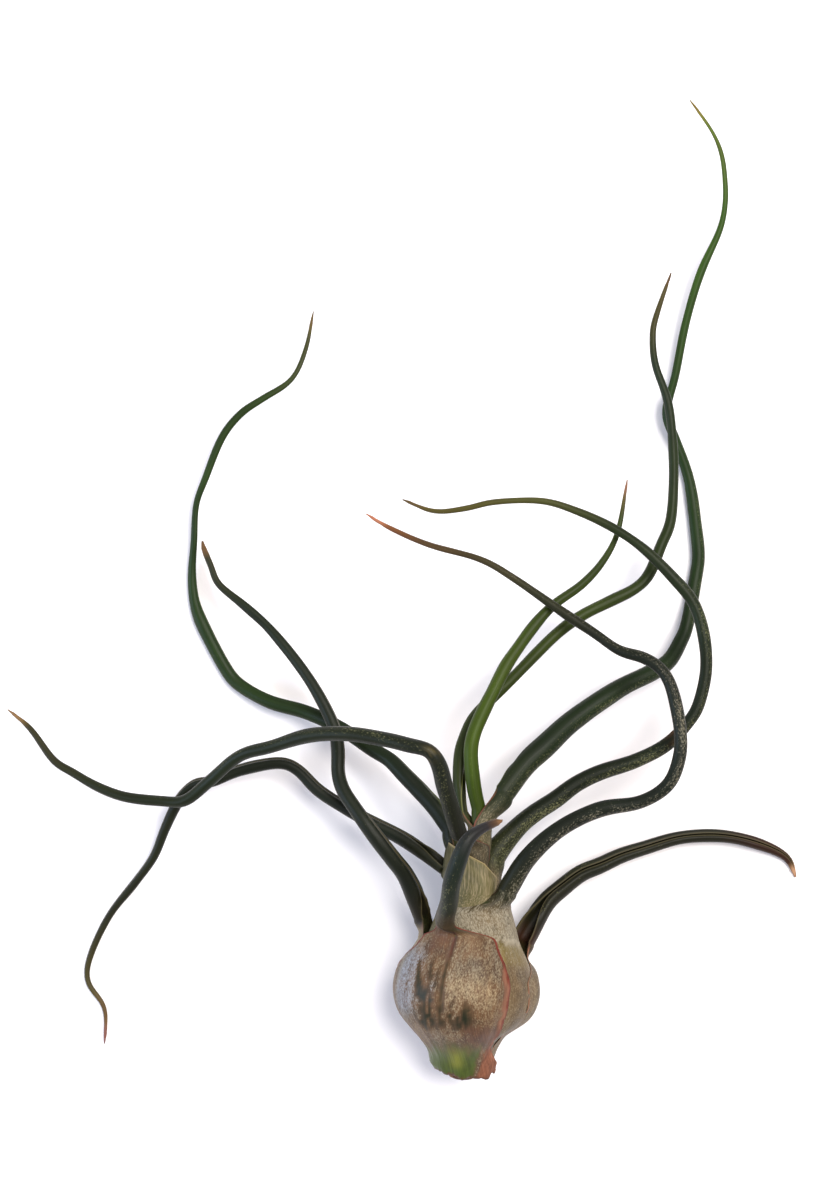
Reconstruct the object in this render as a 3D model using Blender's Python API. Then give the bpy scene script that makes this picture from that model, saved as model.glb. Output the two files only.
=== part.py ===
"""Bulbous air plant lying on a surface.

A short stem carries eleven leaves. Each leaf is one piece: a wide hollow sheath wrapped around the younger
leaves, which together make the bulb, and a narrow blade rolled into a tube with a groove along its inner side.
Lengths are in millimetres and angles in degrees until the meshes are built. X is to the plant's right, Y runs
from the base of the bulb to the leaf tips, Z is up from the surface it lies on.
"""

import math

import bpy
from mathutils import Vector

# ---- driving dimensions, in millimetres ----
MM = 0.001
AXIS_BASE = Vector((12.4, -99.6, 12.2))
AXIS_DIR = Vector((0.062, 0.990, 0.122)).normalized()

# Along the bulb: distance from the base, radius of the outermost sheath, spacing of the inner sheaths.
BULB = (
    (-2.0, 4.4, 0.70),
    (0.0, 5.4, 0.75),
    (2.5, 6.4, 0.80),
    (5.0, 8.0, 0.88),
    (8.0, 10.4, 0.98),
    (11.0, 12.9, 1.06),
    (14.0, 14.4, 1.12),
    (17.0, 15.0, 1.15),
    (20.0, 14.6, 1.14),
    (23.5, 13.3, 1.06),
    (27.0, 11.7, 0.95),
    (30.5, 10.4, 0.84),
    (35.0, 8.9, 0.78),
    (40.0, 8.1, 0.75),
    (46.0, 7.9, 0.74),
    (52.0, 7.7, 0.73),
    (90.0, 7.7, 0.73),
)
SHEATH_WALL = 0.30
RIM_CLEARANCE = 0.16
BLADE_WALL = 0.45
BLADE_WRAP = 158.0
BLADE_BASE_WRAP = 108.0
STEM_RADIUS = 3.5
STEM_TOP = 11.2

OUTER_POINTS = 9
INNER_POINTS = 9
BLEND_SAMPLES = 24
ROUTE_SAMPLE = 1.0
BLADE_CLOSING = 9.0
BLADE_STEP = 9.0
BEND_STEP = 22.0
WRAP_STEP = 20.0


def clamp(value, low, high):
    return max(low, min(high, value))


def smooth(value):
    value = clamp(value, 0.0, 1.0)
    return value * value * (3.0 - 2.0 * value)


def bulb_at(along):
    """Radius of the outermost sheath and the sheath spacing at a distance from the base."""
    for low, high in zip(BULB, BULB[1:]):
        if along <= high[0]:
            share = clamp((along - low[0]) / (high[0] - low[0]), 0.0, 1.0)
            return low[1] + share * (high[1] - low[1]), low[2] + share * (high[2] - low[2])
    return BULB[-1][1], BULB[-1][2]


def sheath_radius(depth, along):
    """Radius of the sheath that lies so many spacings inside the outermost one."""
    outermost, spacing = bulb_at(along)
    return outermost - spacing * depth


def axis_point(along):
    return AXIS_BASE + AXIS_DIR * along


def facing(azimuth):
    """Unit vector square to the bulb's axis: 0 faces up, +90 faces the plant's right."""
    up = (Vector((0.0, 0.0, 1.0)) - AXIS_DIR * AXIS_DIR.z).normalized()
    right = AXIS_DIR.cross(up)
    return up * math.cos(math.radians(azimuth)) + right * math.sin(math.radians(azimuth))


def from_axis(point):
    """Distance along the bulb's axis, and away from it."""
    along = (point - AXIS_BASE).dot(AXIS_DIR)
    return along, (point - axis_point(along)).length


def catmull(p0, p1, p2, p3, share):
    """Point on a curve that passes p1 at share 0 and p2 at share 1, for tuples of any length."""
    out = []
    for a, b, c, d in zip(p0, p1, p2, p3):
        out.append(
            0.5
            * (
                2.0 * b
                + (c - a) * share
                + (2.0 * a - 5.0 * b + 4.0 * c - d) * share**2
                + (3.0 * b - a - 3.0 * c + d) * share**3
            )
        )
    return out


def even_route(route):
    """The blade's route as evenly spaced (centre, radius) samples."""
    fine = []
    padded = [route[0]] + list(route) + [route[-1]]
    for i in range(len(route) - 1):
        for k in range(12):
            fine.append(catmull(*padded[i : i + 4], k / 12.0))
    fine.append(list(route[-1]))
    lengths = [0.0]
    for a, b in zip(fine, fine[1:]):
        lengths.append(lengths[-1] + math.dist(a[:3], b[:3]))
    count = round(lengths[-1] / ROUTE_SAMPLE)
    samples = []
    at = 0
    for k in range(count + 1):
        want = lengths[-1] * k / count
        while at < len(fine) - 2 and lengths[at + 1] < want:
            at += 1
        share = (want - lengths[at]) / (lengths[at + 1] - lengths[at])
        mixed = [p + share * (q - p) for p, q in zip(fine[at], fine[at + 1])]
        samples.append((Vector(mixed[:3]), mixed[3]))
    return samples


def bearing(point):
    """Azimuth of a point around the bulb's axis, in degrees."""
    along, away = from_axis(point)
    out = point - axis_point(along)
    return math.degrees(math.atan2(out.dot(facing(90.0)), out.dot(facing(0.0))))


def standoff(keep_out, radii, wrap):
    """Smallest offset of an arc's centre from the axis at which both its walls stay outside keep_out."""
    offset = 0.0
    while offset < keep_out + max(radii):
        clear = True
        for k in range(9):
            turn = math.radians(wrap) * k / 8.0
            for radius in radii:
                reach = math.hypot(offset + radius * math.cos(turn), radius * math.sin(turn))
                clear = clear and reach >= keep_out
        if clear:
            break
        offset += 0.1
    return offset


def blend_station(leaf, first, heading, share):
    """The section between the sheath and the first blade sample, at a share of the way.

    The sheath narrows first, then what is left of it rolls up into the blade and parts from the bulb.
    """
    depth = leaf["depth"]
    blade_centre, blade_radius = first
    last_along, last_away = from_axis(blade_centre)
    along = leaf["leave"] + (last_along - leaf["leave"]) * share
    sheath = sheath_radius(depth, along)
    rolled = smooth((share - 0.2) / 0.8)
    narrowed = smooth(share / 0.55)
    radius = sheath + (blade_radius - sheath) * rolled
    full = sheath * math.radians(leaf["wrap"])
    strip = blade_radius * math.radians(BLADE_BASE_WRAP)
    wrap = min(math.degrees((full + (strip - full) * narrowed) / radius), BLADE_BASE_WRAP)
    wall = SHEATH_WALL + (BLADE_WALL * blade_radius - SHEATH_WALL) * smooth((share - 0.5) * 2.0)
    keep_out = 0.0
    if leaf["next_depth"] is not None:
        keep_out = sheath_radius(leaf["next_depth"], along) + RIM_CLEARANCE
    offset = last_away * smooth((share - 0.15) / 0.85)
    if blade_radius < 0.6 * sheath:
        offset = last_away * smooth((share - 0.4) / 0.6)
        offset = max(offset, standoff(keep_out, (radius, radius - wall), wrap))
    offset = min(offset, max(last_away, 0.01))
    azimuth = leaf["azimuth"] + (bearing(blade_centre) - leaf["azimuth"]) * smooth(share)
    if leaf["next_depth"] is None:
        azimuth = bearing(blade_centre)
    centre = axis_point(along) + facing(azimuth) * offset
    direction = AXIS_DIR.lerp(heading, smooth((share - 0.45) / 0.55)).normalized()
    return centre, direction, radius, wall, wrap


def leaf_stations(leaf):
    """Centre, direction, radius, wall and wish for the half wrap along the leaf, sampled finely."""
    depth = leaf["depth"]
    stations = []
    marks = [row[0] for row in BULB if leaf["start"] < row[0] < leaf["leave"] - 0.8]
    for u in [leaf["start"]] + marks + [leaf["leave"]]:
        stations.append((axis_point(u), AXIS_DIR, sheath_radius(depth, u), SHEATH_WALL, leaf["wrap"]))
    sheath_count = len(stations)
    blade = even_route(leaf["route"])
    heading = (blade[1][0] - blade[0][0]).normalized()
    for k in range(1, BLEND_SAMPLES):
        stations.append(blend_station(leaf, blade[0], heading, k / BLEND_SAMPLES))
    for k, (centre, radius) in enumerate(blade):
        before = blade[max(0, k - 1)][0]
        after = blade[min(len(blade) - 1, k + 1)][0]
        centre.z = max(centre.z, radius)
        wish = BLADE_BASE_WRAP + (BLADE_WRAP - BLADE_BASE_WRAP) * smooth(k * ROUTE_SAMPLE / BLADE_CLOSING)
        stations.append((centre, (after - before).normalized(), radius, BLADE_WALL * radius, wish))
    last = stations[-1]
    tip = last[0] + last[1] * last[2] * 0.8
    stations.append((tip, last[1], last[2] * 0.55, last[3] * 0.55, BLADE_WRAP))
    return stations, sheath_count


def clear_wrap(keep_depth, centre, outward, across, radii, wish):
    """Largest half wrap, up to the wish, whose two walls stay outside the next younger sheath."""
    angle = 0.0
    while angle < wish:
        step = min(angle + 2.0, wish)
        for side, radius in ((-1.0, radii[0]), (-1.0, radii[1]), (1.0, radii[0]), (1.0, radii[1])):
            turn = math.radians(step) * side
            point = centre + (outward * math.cos(turn) + across * math.sin(turn)) * radius
            along, away = from_axis(point)
            if away < sheath_radius(keep_depth, along) + RIM_CLEARANCE:
                return max(angle, 30.0)
        angle = step
    return wish


def leaf_sections(leaf):
    """Sections with their own axes and clear wraps, thinned to those the shape needs."""
    stations, sheath_count = leaf_stations(leaf)
    outward = facing(leaf["azimuth"])
    fine = []
    travelled = 0.0
    for i, (centre, direction, radius, wall, wish) in enumerate(stations):
        outward = (outward - direction * outward.dot(direction)).normalized()
        if i > sheath_count:
            travelled += (centre - stations[i - 1][0]).length
        turned = math.radians(leaf["twist"]) * smooth((travelled - 12.0) / 40.0)
        across = direction.cross(outward)
        normal = outward * math.cos(turned) + across * math.sin(turned)
        across = direction.cross(normal)
        wrap = wish
        if leaf["next_depth"] is not None and sheath_count <= i < len(stations) - 4:
            wrap = clear_wrap(leaf["next_depth"], centre, normal, across, (radius, radius - wall), wish)
        fine.append((centre, direction, normal, across, radius, wall, wrap))
    kept = fine[:sheath_count]
    for section, following in zip(fine[sheath_count:], fine[sheath_count + 1 :]):
        last = kept[-1]
        far = (following[0] - last[0]).length > BLADE_STEP
        bent = following[1].angle(last[1]) > math.radians(BEND_STEP)
        opened = abs(following[6] - last[6]) > WRAP_STEP
        shrunk = abs(following[4] - last[4]) > 0.22 * last[4]
        if far or bent or opened or shrunk:
            kept.append(section)
    return kept + [fine[-2], fine[-1]] if kept[-1] is not fine[-2] else kept + [fine[-1]]


def leaf_mesh(leaf):
    """Vertices and faces of one leaf, lofted through its sections."""
    sections = leaf_sections(leaf)
    verts = []
    for centre, direction, normal, across, radius, wall, wrap in sections:
        for k in range(OUTER_POINTS):
            turn = math.radians(wrap) * (2.0 * k / (OUTER_POINTS - 1) - 1.0)
            verts.append(centre + (normal * math.cos(turn) + across * math.sin(turn)) * radius)
        for k in range(INNER_POINTS):
            turn = math.radians(wrap) * (1.0 - 2.0 * k / (INNER_POINTS - 1))
            verts.append(centre + (normal * math.cos(turn) + across * math.sin(turn)) * (radius - wall))
    ring = OUTER_POINTS + INNER_POINTS
    total = len(sections)
    faces = []
    for i in range(total - 1):
        for k in range(ring):
            a = i * ring + k
            b = i * ring + (k + 1) % ring
            c = b + ring
            d = a + ring
            if (verts[a] - verts[c]).length < (verts[b] - verts[d]).length:
                faces += [(a, b, c), (a, c, d)]
            else:
                faces += [(a, b, d), (b, c, d)]
    for base, flip in ((0, True), ((total - 1) * ring, False)):
        for k in range(OUTER_POINTS - 1):
            quad = (base + k, base + k + 1, base + ring - 2 - k, base + ring - 1 - k)
            faces.append(tuple(reversed(quad)) if flip else quad)
    return verts, faces


def stem_mesh():
    """The short, blunt stem in the base of the bulb."""
    profile = (
        (-1.6, STEM_RADIUS * 0.35),
        (-1.2, STEM_RADIUS * 0.75),
        (0.0, STEM_RADIUS * 0.97),
        (5.0, STEM_RADIUS),
        (7.5, STEM_RADIUS * 0.92),
        (9.5, STEM_RADIUS * 0.68),
        (10.6, STEM_RADIUS * 0.45),
        (STEM_TOP, STEM_RADIUS * 0.15),
    )
    sides = 16
    verts = []
    for along, radius in profile:
        for k in range(sides):
            verts.append(axis_point(along) + facing(360.0 * k / sides) * radius)
    faces = []
    for i in range(len(profile) - 1):
        for k in range(sides):
            a = i * sides + k
            b = i * sides + (k + 1) % sides
            faces.append((a, b, b + sides, a + sides))
    faces.append(tuple(reversed(range(sides))))
    faces.append(tuple((len(profile) - 1) * sides + k for k in range(sides)))
    return verts, faces


def material(name, color, roughness):
    made = bpy.data.materials.new(name)
    made.use_nodes = True
    shader = made.node_tree.nodes["Principled BSDF"]
    shader.inputs["Base Color"].default_value = (*color, 1.0)
    shader.inputs["Roughness"].default_value = roughness
    return made


def add_object(name, verts, faces, parent, color, roughness):
    mesh = bpy.data.meshes.new(name)
    mesh.from_pydata([v * MM for v in verts], [], faces)
    mesh.validate()
    mesh.materials.append(material("mat_" + name, color, roughness))
    made = bpy.data.objects.new(name, mesh)
    made.parent = parent
    bpy.context.scene.collection.objects.link(made)
    return made


# ---- the leaves ----
# depth is how many spacings a sheath lies inside the outermost one, and next_depth that of the next younger leaf;
# azimuth is where the leaf's back faces on the bulb; wrap is the sheath's half angle; start and leave are distances along the bulb where the sheath begins and where the blade parts from it;
# a route point is x, y, z of the blade's centre and its radius.
LEAVES = (
    {
        "name": "leaf_01_front",
        "depth": 0.0,
        "next_depth": 0.55,
        "azimuth": -27.0,
        "wrap": 66.0,
        "start": 0.0,
        "leave": 24.5,
        "twist": 0.0,
        "color": (0.30, 0.27, 0.16),
        "route": (
            (9.0, -69.0, 26.5, 2.0),
            (9.5, -63.5, 32.0, 1.8),
            (10.0, -58.5, 36.0, 1.8),
            (11.5, -53.5, 38.0, 1.7),
            (13.0, -50.0, 38.5, 1.4),
            (15.5, -48.0, 37.5, 1.0),
            (18.0, -47.0, 36.0, 0.8),
            (20.0, -46.5, 34.0, 0.6),
        ),
    },
    {
        "name": "leaf_02_right_low",
        "depth": 0.55,
        "next_depth": 1.1,
        "azimuth": 129.0,
        "wrap": 63.0,
        "start": 1.0,
        "leave": 20.0,
        "twist": 35.0,
        "color": (0.22, 0.22, 0.13),
        "route": (
            (25.0, -72.5, 11.0, 2.6),
            (27.5, -68.5, 10.5, 2.3),
            (30.0, -65.0, 9.5, 2.0),
            (33.0, -62.5, 8.5, 1.9),
            (37.0, -59.5, 7.5, 1.8),
            (41.0, -58.0, 6.5, 1.7),
            (45.5, -56.0, 5.5, 1.6),
            (50.5, -54.5, 4.5, 1.5),
            (57.5, -52.5, 3.8, 1.4),
            (64.0, -52.0, 3.2, 1.4),
            (69.5, -52.5, 2.8, 1.3),
            (75.0, -54.0, 2.2, 1.2),
            (79.5, -56.0, 1.4, 0.9),
            (81.5, -58.0, 0.9, 0.7),
            (82.5, -61.0, 0.5, 0.5),
        ),
    },
    {
        "name": "leaf_03_left_outer",
        "depth": 1.1,
        "next_depth": 1.65,
        "azimuth": -110.0,
        "wrap": 75.0,
        "start": 2.0,
        "leave": 25.5,
        "twist": 35.0,
        "color": (0.16, 0.17, 0.10),
        "route": (
            (4.5, -67.5, 13.0, 2.3),
            (1.0, -59.5, 15.5, 1.9),
            (-1.5, -56.0, 17.0, 1.8),
            (-4.5, -52.0, 18.0, 1.8),
            (-7.5, -48.0, 18.0, 1.7),
            (-10.0, -44.5, 17.0, 1.6),
            (-12.0, -41.5, 16.0, 1.6),
            (-13.0, -38.0, 15.0, 1.5),
            (-13.0, -33.5, 14.5, 1.5),
            (-14.0, -28.5, 14.0, 1.4),
            (-17.5, -21.5, 13.0, 1.3),
            (-22.0, -15.0, 11.5, 1.2),
            (-27.5, -8.5, 10.0, 1.1),
            (-32.5, -4.0, 9.0, 1.0),
            (-38.0, 0.5, 8.0, 0.8),
            (-39.5, 4.0, 7.5, 0.7),
            (-41.0, 7.5, 7.0, 0.7),
            (-41.5, 9.5, 6.5, 0.6),
        ),
    },
    {
        "name": "leaf_04_right_hook",
        "depth": 1.65,
        "next_depth": 2.7,
        "azimuth": 60.0,
        "wrap": 113.0,
        "start": 3.0,
        "leave": 31.5,
        "twist": 0.0,
        "color": (0.14, 0.16, 0.09),
        "route": (
            (21.5, -61.5, 20.5, 2.1),
            (25.5, -55.0, 22.0, 1.9),
            (32.0, -49.0, 23.0, 1.7),
            (40.0, -45.0, 24.0, 1.6),
            (48.0, -43.5, 25.0, 1.4),
            (53.5, -40.0, 26.0, 1.4),
            (55.8, -34.5, 26.0, 1.4),
            (56.0, -29.0, 26.0, 1.3),
            (54.5, -21.0, 25.0, 1.3),
            (52.5, -17.0, 24.5, 1.2),
            (49.0, -14.5, 23.5, 1.2),
            (44.0, -13.0, 22.0, 1.1),
            (39.0, -9.5, 20.5, 1.0),
            (33.0, -5.5, 19.5, 1.0),
            (23.0, 1.5, 18.0, 0.8),
            (16.0, 5.5, 17.0, 0.7),
            (5.5, 8.5, 15.0, 0.6),
            (-2.5, 12.0, 13.0, 0.5),
            (-7.5, 15.0, 12.0, 0.3),
        ),
    },
    {
        "name": "leaf_05_left_low",
        "depth": 2.7,
        "next_depth": 3.7,
        "azimuth": -110.0,
        "wrap": 92.0,
        "start": 5.0,
        "leave": 36.0,
        "twist": 0.0,
        "color": (0.15, 0.16, 0.09),
        "route": (
            (9.0, -57.5, 14.8, 1.8),
            (4.5, -54.5, 13.8, 1.7),
            (-0.5, -51.5, 12.5, 1.6),
            (-6.5, -48.5, 11.5, 1.5),
            (-12.0, -45.5, 10.5, 1.4),
            (-17.5, -42.0, 9.5, 1.4),
            (-21.5, -38.0, 9.0, 1.3),
            (-25.5, -36.5, 8.8, 1.3),
            (-33.5, -38.0, 8.0, 1.3),
            (-39.5, -40.5, 8.0, 1.2),
            (-43.0, -41.0, 7.0, 1.2),
            (-46.5, -44.5, 6.0, 1.2),
            (-49.5, -50.5, 4.5, 1.1),
            (-52.0, -56.5, 3.0, 1.0),
            (-56.0, -62.0, 1.8, 0.9),
            (-61.5, -69.0, 0.9, 0.8),
            (-65.5, -77.5, 0.7, 0.7),
            (-66.0, -83.0, 0.6, 0.6),
            (-62.5, -88.5, 0.6, 0.5),
            (-62.5, -96.0, 0.4, 0.3),
        ),
    },
    {
        "name": "leaf_06_right_hook_wide",
        "depth": 3.7,
        "next_depth": 4.7,
        "azimuth": 100.0,
        "wrap": 95.0,
        "start": 6.3,
        "leave": 37.5,
        "twist": 0.0,
        "color": (0.14, 0.16, 0.09),
        "route": (
            (20.5, -55.5, 16.6, 2.1),
            (24.0, -49.5, 16.2, 1.9),
            (27.0, -46.5, 16.2, 1.9),
            (31.5, -43.5, 16.2, 1.8),
            (35.5, -40.5, 16.3, 1.7),
            (40.5, -38.0, 16.5, 1.6),
            (47.5, -35.7, 17.0, 1.5),
            (54.0, -32.3, 17.5, 1.4),
            (58.5, -27.5, 18.0, 1.3),
            (60.5, -24.0, 18.0, 1.3),
            (62.0, -17.0, 18.0, 1.3),
            (61.5, -10.0, 18.0, 1.3),
            (59.5, -3.5, 18.0, 1.2),
            (55.5, 1.5, 18.0, 1.2),
            (49.5, 7.5, 17.5, 1.0),
            (43.0, 12.0, 16.5, 0.9),
            (35.5, 15.5, 15.5, 0.8),
            (28.5, 17.5, 15.0, 0.7),
            (19.0, 17.3, 14.0, 0.6),
            (13.0, 16.0, 13.0, 0.6),
            (6.5, 15.5, 11.5, 0.5),
            (0.0, 18.0, 9.5, 0.3),
        ),
    },
    {
        "name": "leaf_07_left_tall",
        "depth": 4.7,
        "next_depth": 5.7,
        "azimuth": -100.0,
        "wrap": 90.0,
        "start": 7.4,
        "leave": 39.5,
        "twist": 0.0,
        "color": (0.13, 0.20, 0.08),
        "route": (
            (10.0, -49.0, 17.0, 2.2),
            (7.0, -45.0, 16.2, 2.1),
            (3.5, -41.5, 15.0, 1.9),
            (0.5, -38.5, 14.0, 1.8),
            (-2.5, -35.5, 12.5, 1.7),
            (-6.0, -33.5, 11.0, 1.7),
            (-13.0, -29.0, 8.8, 1.6),
            (-20.0, -26.0, 6.0, 1.6),
            (-27.5, -24.0, 4.0, 1.6),
            (-34.0, -20.5, 2.0, 1.5),
            (-37.0, -17.0, 1.5, 1.5),
            (-41.5, -8.5, 1.4, 1.5),
            (-43.5, -3.0, 1.3, 1.2),
            (-44.0, 3.0, 1.6, 0.9),
            (-43.5, 9.5, 2.6, 0.8),
            (-43.0, 17.0, 3.5, 0.7),
            (-41.0, 22.5, 4.2, 0.8),
            (-37.5, 31.0, 5.0, 0.9),
            (-33.5, 36.0, 5.6, 0.9),
            (-29.0, 39.0, 6.0, 0.8),
            (-23.0, 43.0, 6.0, 0.6),
            (-20.0, 49.5, 5.5, 0.5),
            (-18.5, 57.5, 4.5, 0.3),
        ),
    },
    {
        "name": "leaf_08_right_tall",
        "depth": 6.7,
        "next_depth": 7.7,
        "azimuth": 70.0,
        "wrap": 95.0,
        "start": 9.3,
        "leave": 50.5,
        "twist": 0.0,
        "color": (0.10, 0.18, 0.06),
        "route": (
            (20.5, -42.0, 18.4, 2.6),
            (25.0, -36.5, 16.6, 2.4),
            (29.5, -32.5, 15.0, 2.4),
            (34.5, -28.0, 13.0, 2.2),
            (41.0, -23.5, 11.0, 2.1),
            (46.0, -20.5, 9.0, 1.9),
            (51.5, -18.0, 7.0, 1.8),
            (55.5, -15.5, 5.2, 1.7),
            (58.0, -11.5, 3.6, 1.6),
            (59.5, -8.0, 2.6, 1.5),
            (61.5, 2.5, 1.6, 1.4),
            (62.0, 6.5, 1.5, 1.4),
            (61.5, 12.0, 1.4, 1.4),
            (60.0, 22.5, 1.5, 1.2),
            (57.0, 31.0, 2.1, 1.1),
            (55.2, 36.5, 2.4, 1.0),
            (57.0, 44.0, 3.0, 0.9),
            (59.0, 54.5, 4.0, 0.9),
            (62.0, 65.0, 5.0, 0.9),
            (66.0, 74.0, 5.2, 0.7),
            (67.2, 79.5, 5.3, 0.6),
            (67.2, 84.5, 5.2, 0.6),
            (66.5, 90.0, 5.0, 0.5),
            (64.5, 95.0, 4.5, 0.4),
            (60.0, 101.5, 4.0, 0.3),
        ),
    },
    {
        "name": "leaf_09_left_arch",
        "depth": 5.7,
        "next_depth": 6.7,
        "azimuth": -30.0,
        "wrap": 90.0,
        "start": 8.4,
        "leave": 46.8,
        "twist": 80.0,
        "color": (0.17, 0.18, 0.09),
        "route": (
            (10.9, -46.6, 26.2, 1.8),
            (10.0, -44.0, 28.8, 1.7),
            (8.5, -39.5, 32.5, 1.7),
            (7.5, -35.5, 35.5, 1.6),
            (5.5, -32.5, 36.5, 1.4),
            (1.5, -31.5, 35.5, 1.5),
            (-3.0, -30.5, 33.5, 1.5),
            (-10.5, -29.5, 30.5, 1.5),
            (-18.5, -30.0, 26.5, 1.5),
            (-26.5, -32.5, 22.5, 1.3),
            (-33.0, -34.5, 19.5, 1.3),
            (-39.5, -40.0, 15.5, 1.2),
            (-44.5, -44.0, 13.5, 1.2),
            (-49.0, -44.2, 12.0, 1.1),
            (-57.0, -43.5, 10.0, 1.1),
            (-63.0, -41.5, 8.5, 1.0),
            (-68.5, -38.5, 7.2, 0.9),
            (-72.5, -36.0, 6.5, 0.8),
            (-77.5, -29.5, 5.2, 0.6),
            (-82.5, -25.5, 4.0, 0.3),
        ),
    },
    {
        "name": "leaf_10_inner_right",
        "depth": 7.7,
        "next_depth": 8.7,
        "azimuth": -110.0,
        "wrap": 95.0,
        "start": 10.2,
        "leave": 50.2,
        "twist": 60.0,
        "color": (0.12, 0.20, 0.07),
        "route": (
            (12.5, -45.5, 17.6, 1.4),
            (11.8, -40.5, 17.2, 1.4),
            (12.0, -34.5, 16.0, 1.4),
            (13.0, -31.0, 15.3, 1.4),
            (14.5, -27.5, 15.0, 1.4),
            (17.5, -24.0, 14.8, 1.3),
            (23.5, -18.0, 14.4, 1.2),
            (31.5, -10.0, 13.0, 1.2),
            (37.0, -6.0, 12.0, 1.2),
            (43.0, -3.0, 11.2, 1.2),
            (48.0, -0.5, 10.5, 1.2),
            (51.0, 2.5, 10.2, 1.2),
            (53.5, 8.5, 9.8, 1.2),
            (55.5, 13.5, 9.5, 1.1),
            (56.2, 22.0, 8.8, 1.0),
            (56.0, 30.5, 8.4, 1.0),
            (55.0, 38.5, 8.0, 0.9),
            (52.5, 46.0, 7.5, 0.8),
            (52.0, 52.0, 7.1, 0.7),
            (52.7, 56.0, 6.8, 0.6),
            (56.0, 65.5, 5.5, 0.3),
        ),
    },
    {
        "name": "leaf_11_centre",
        "depth": 8.7,
        "next_depth": None,
        "azimuth": 0.0,
        "wrap": 120.0,
        "start": 11.0,
        "leave": 50.0,
        "twist": 0.0,
        "color": (0.12, 0.33, 0.06),
        "route": (
            (15.6, -45.0, 18.9, 1.5),
            (14.6, -40.5, 19.8, 1.5),
            (14.0, -34.0, 20.6, 1.5),
            (14.6, -30.0, 20.5, 1.5),
            (16.5, -25.5, 20.0, 1.5),
            (18.5, -21.5, 19.5, 1.4),
            (21.0, -16.5, 18.5, 1.4),
            (23.0, -13.5, 18.0, 1.3),
            (27.0, -8.0, 17.0, 1.2),
            (31.0, -3.8, 16.0, 1.0),
            (37.0, 0.5, 15.0, 0.9),
            (41.5, 5.5, 13.5, 0.7),
            (44.5, 11.5, 12.0, 0.6),
            (46.5, 22.0, 10.0, 0.3),
        ),
    },
)


def build():
    for old in list(bpy.data.objects):
        bpy.data.objects.remove(old, do_unlink=True)
    root = bpy.data.objects.new("air_plant", None)
    bpy.context.scene.collection.objects.link(root)
    verts, faces = stem_mesh()
    add_object("stem", verts, faces, root, (0.16, 0.10, 0.06), 0.8)
    for leaf in LEAVES:
        verts, faces = leaf_mesh(leaf)
        add_object(leaf["name"], verts, faces, root, leaf["color"], 0.55)


build()
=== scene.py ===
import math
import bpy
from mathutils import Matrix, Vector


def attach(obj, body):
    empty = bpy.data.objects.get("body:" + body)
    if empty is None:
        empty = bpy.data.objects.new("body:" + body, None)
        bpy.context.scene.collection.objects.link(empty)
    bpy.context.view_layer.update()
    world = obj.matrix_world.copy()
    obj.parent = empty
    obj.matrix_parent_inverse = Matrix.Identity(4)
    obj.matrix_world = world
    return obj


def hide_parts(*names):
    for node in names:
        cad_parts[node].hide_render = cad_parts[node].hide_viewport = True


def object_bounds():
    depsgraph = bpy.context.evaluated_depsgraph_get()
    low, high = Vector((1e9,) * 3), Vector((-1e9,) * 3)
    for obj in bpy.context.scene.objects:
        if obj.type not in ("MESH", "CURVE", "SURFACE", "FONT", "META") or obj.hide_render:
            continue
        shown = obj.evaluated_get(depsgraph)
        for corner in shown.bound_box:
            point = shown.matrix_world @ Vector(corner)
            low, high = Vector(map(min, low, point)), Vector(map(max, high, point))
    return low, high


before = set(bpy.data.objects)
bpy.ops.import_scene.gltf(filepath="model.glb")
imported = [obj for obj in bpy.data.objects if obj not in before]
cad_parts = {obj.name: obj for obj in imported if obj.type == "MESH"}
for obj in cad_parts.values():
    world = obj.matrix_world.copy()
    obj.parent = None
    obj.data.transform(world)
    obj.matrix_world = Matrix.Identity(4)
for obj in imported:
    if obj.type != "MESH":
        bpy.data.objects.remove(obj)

# The visible air plant: eleven leaves and a stem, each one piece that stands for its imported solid.
# Lengths are millimetres until the meshes are made. X is to the plant's right, Y runs from the base of
# the bulb to the leaf tips, Z is up from the surface. "along" is distance up the bulb's axis; an azimuth
# of 0 faces up and +90 faces the plant's right.

from types import SimpleNamespace

import bpy
import numpy as np
from mathutils import Vector

CAD_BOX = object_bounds()
MM = 0.001

# ---- the bulb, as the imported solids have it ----
AXIS_BASE = np.array((12.4, -99.6, 12.2))
AXIS_DIR = np.array((0.062, 0.990, 0.122))
AXIS_DIR = AXIS_DIR / np.linalg.norm(AXIS_DIR)
AXIS_UP = np.array((0.0, 0.0, 1.0)) - AXIS_DIR * AXIS_DIR[2]
AXIS_UP = AXIS_UP / np.linalg.norm(AXIS_UP)
AXIS_RIGHT = np.cross(AXIS_DIR, AXIS_UP)

# distance along, radius of the outermost sheath, spacing of the sheaths inside it
BULB = np.array((
    (-2.0, 4.4, 0.70), (0.0, 5.4, 0.75), (2.5, 6.4, 0.80), (5.0, 8.0, 0.88),
    (8.0, 10.4, 0.98), (11.0, 12.9, 1.06), (14.0, 14.4, 1.12), (17.0, 15.0, 1.15),
    (20.0, 14.6, 1.14), (23.5, 13.3, 1.06), (27.0, 11.7, 0.95), (30.5, 10.4, 0.84),
    (35.0, 8.9, 0.78), (40.0, 8.1, 0.75), (46.0, 7.9, 0.74), (52.0, 7.7, 0.73),
    (90.0, 7.7, 0.73),
))

SHEATH_WALL = 0.30
BLADE_WALL = 0.45  # as a share of the blade's radius
BLADE_WRAP = 171.0
BLADE_BASE_WRAP = 108.0
THINNEST_BLADE = 0.25
STEM_RADIUS = 3.5
SURFACE_GAP = 0.02

# fineness of the meshes
ALONG_SHEATH = 0.42
ALONG_BLADE = 0.75
OUTER_POINTS = 61
INNER_POINTS = 21
RING = OUTER_POINTS + INNER_POINTS
EVEN_STEP = 0.25


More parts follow.
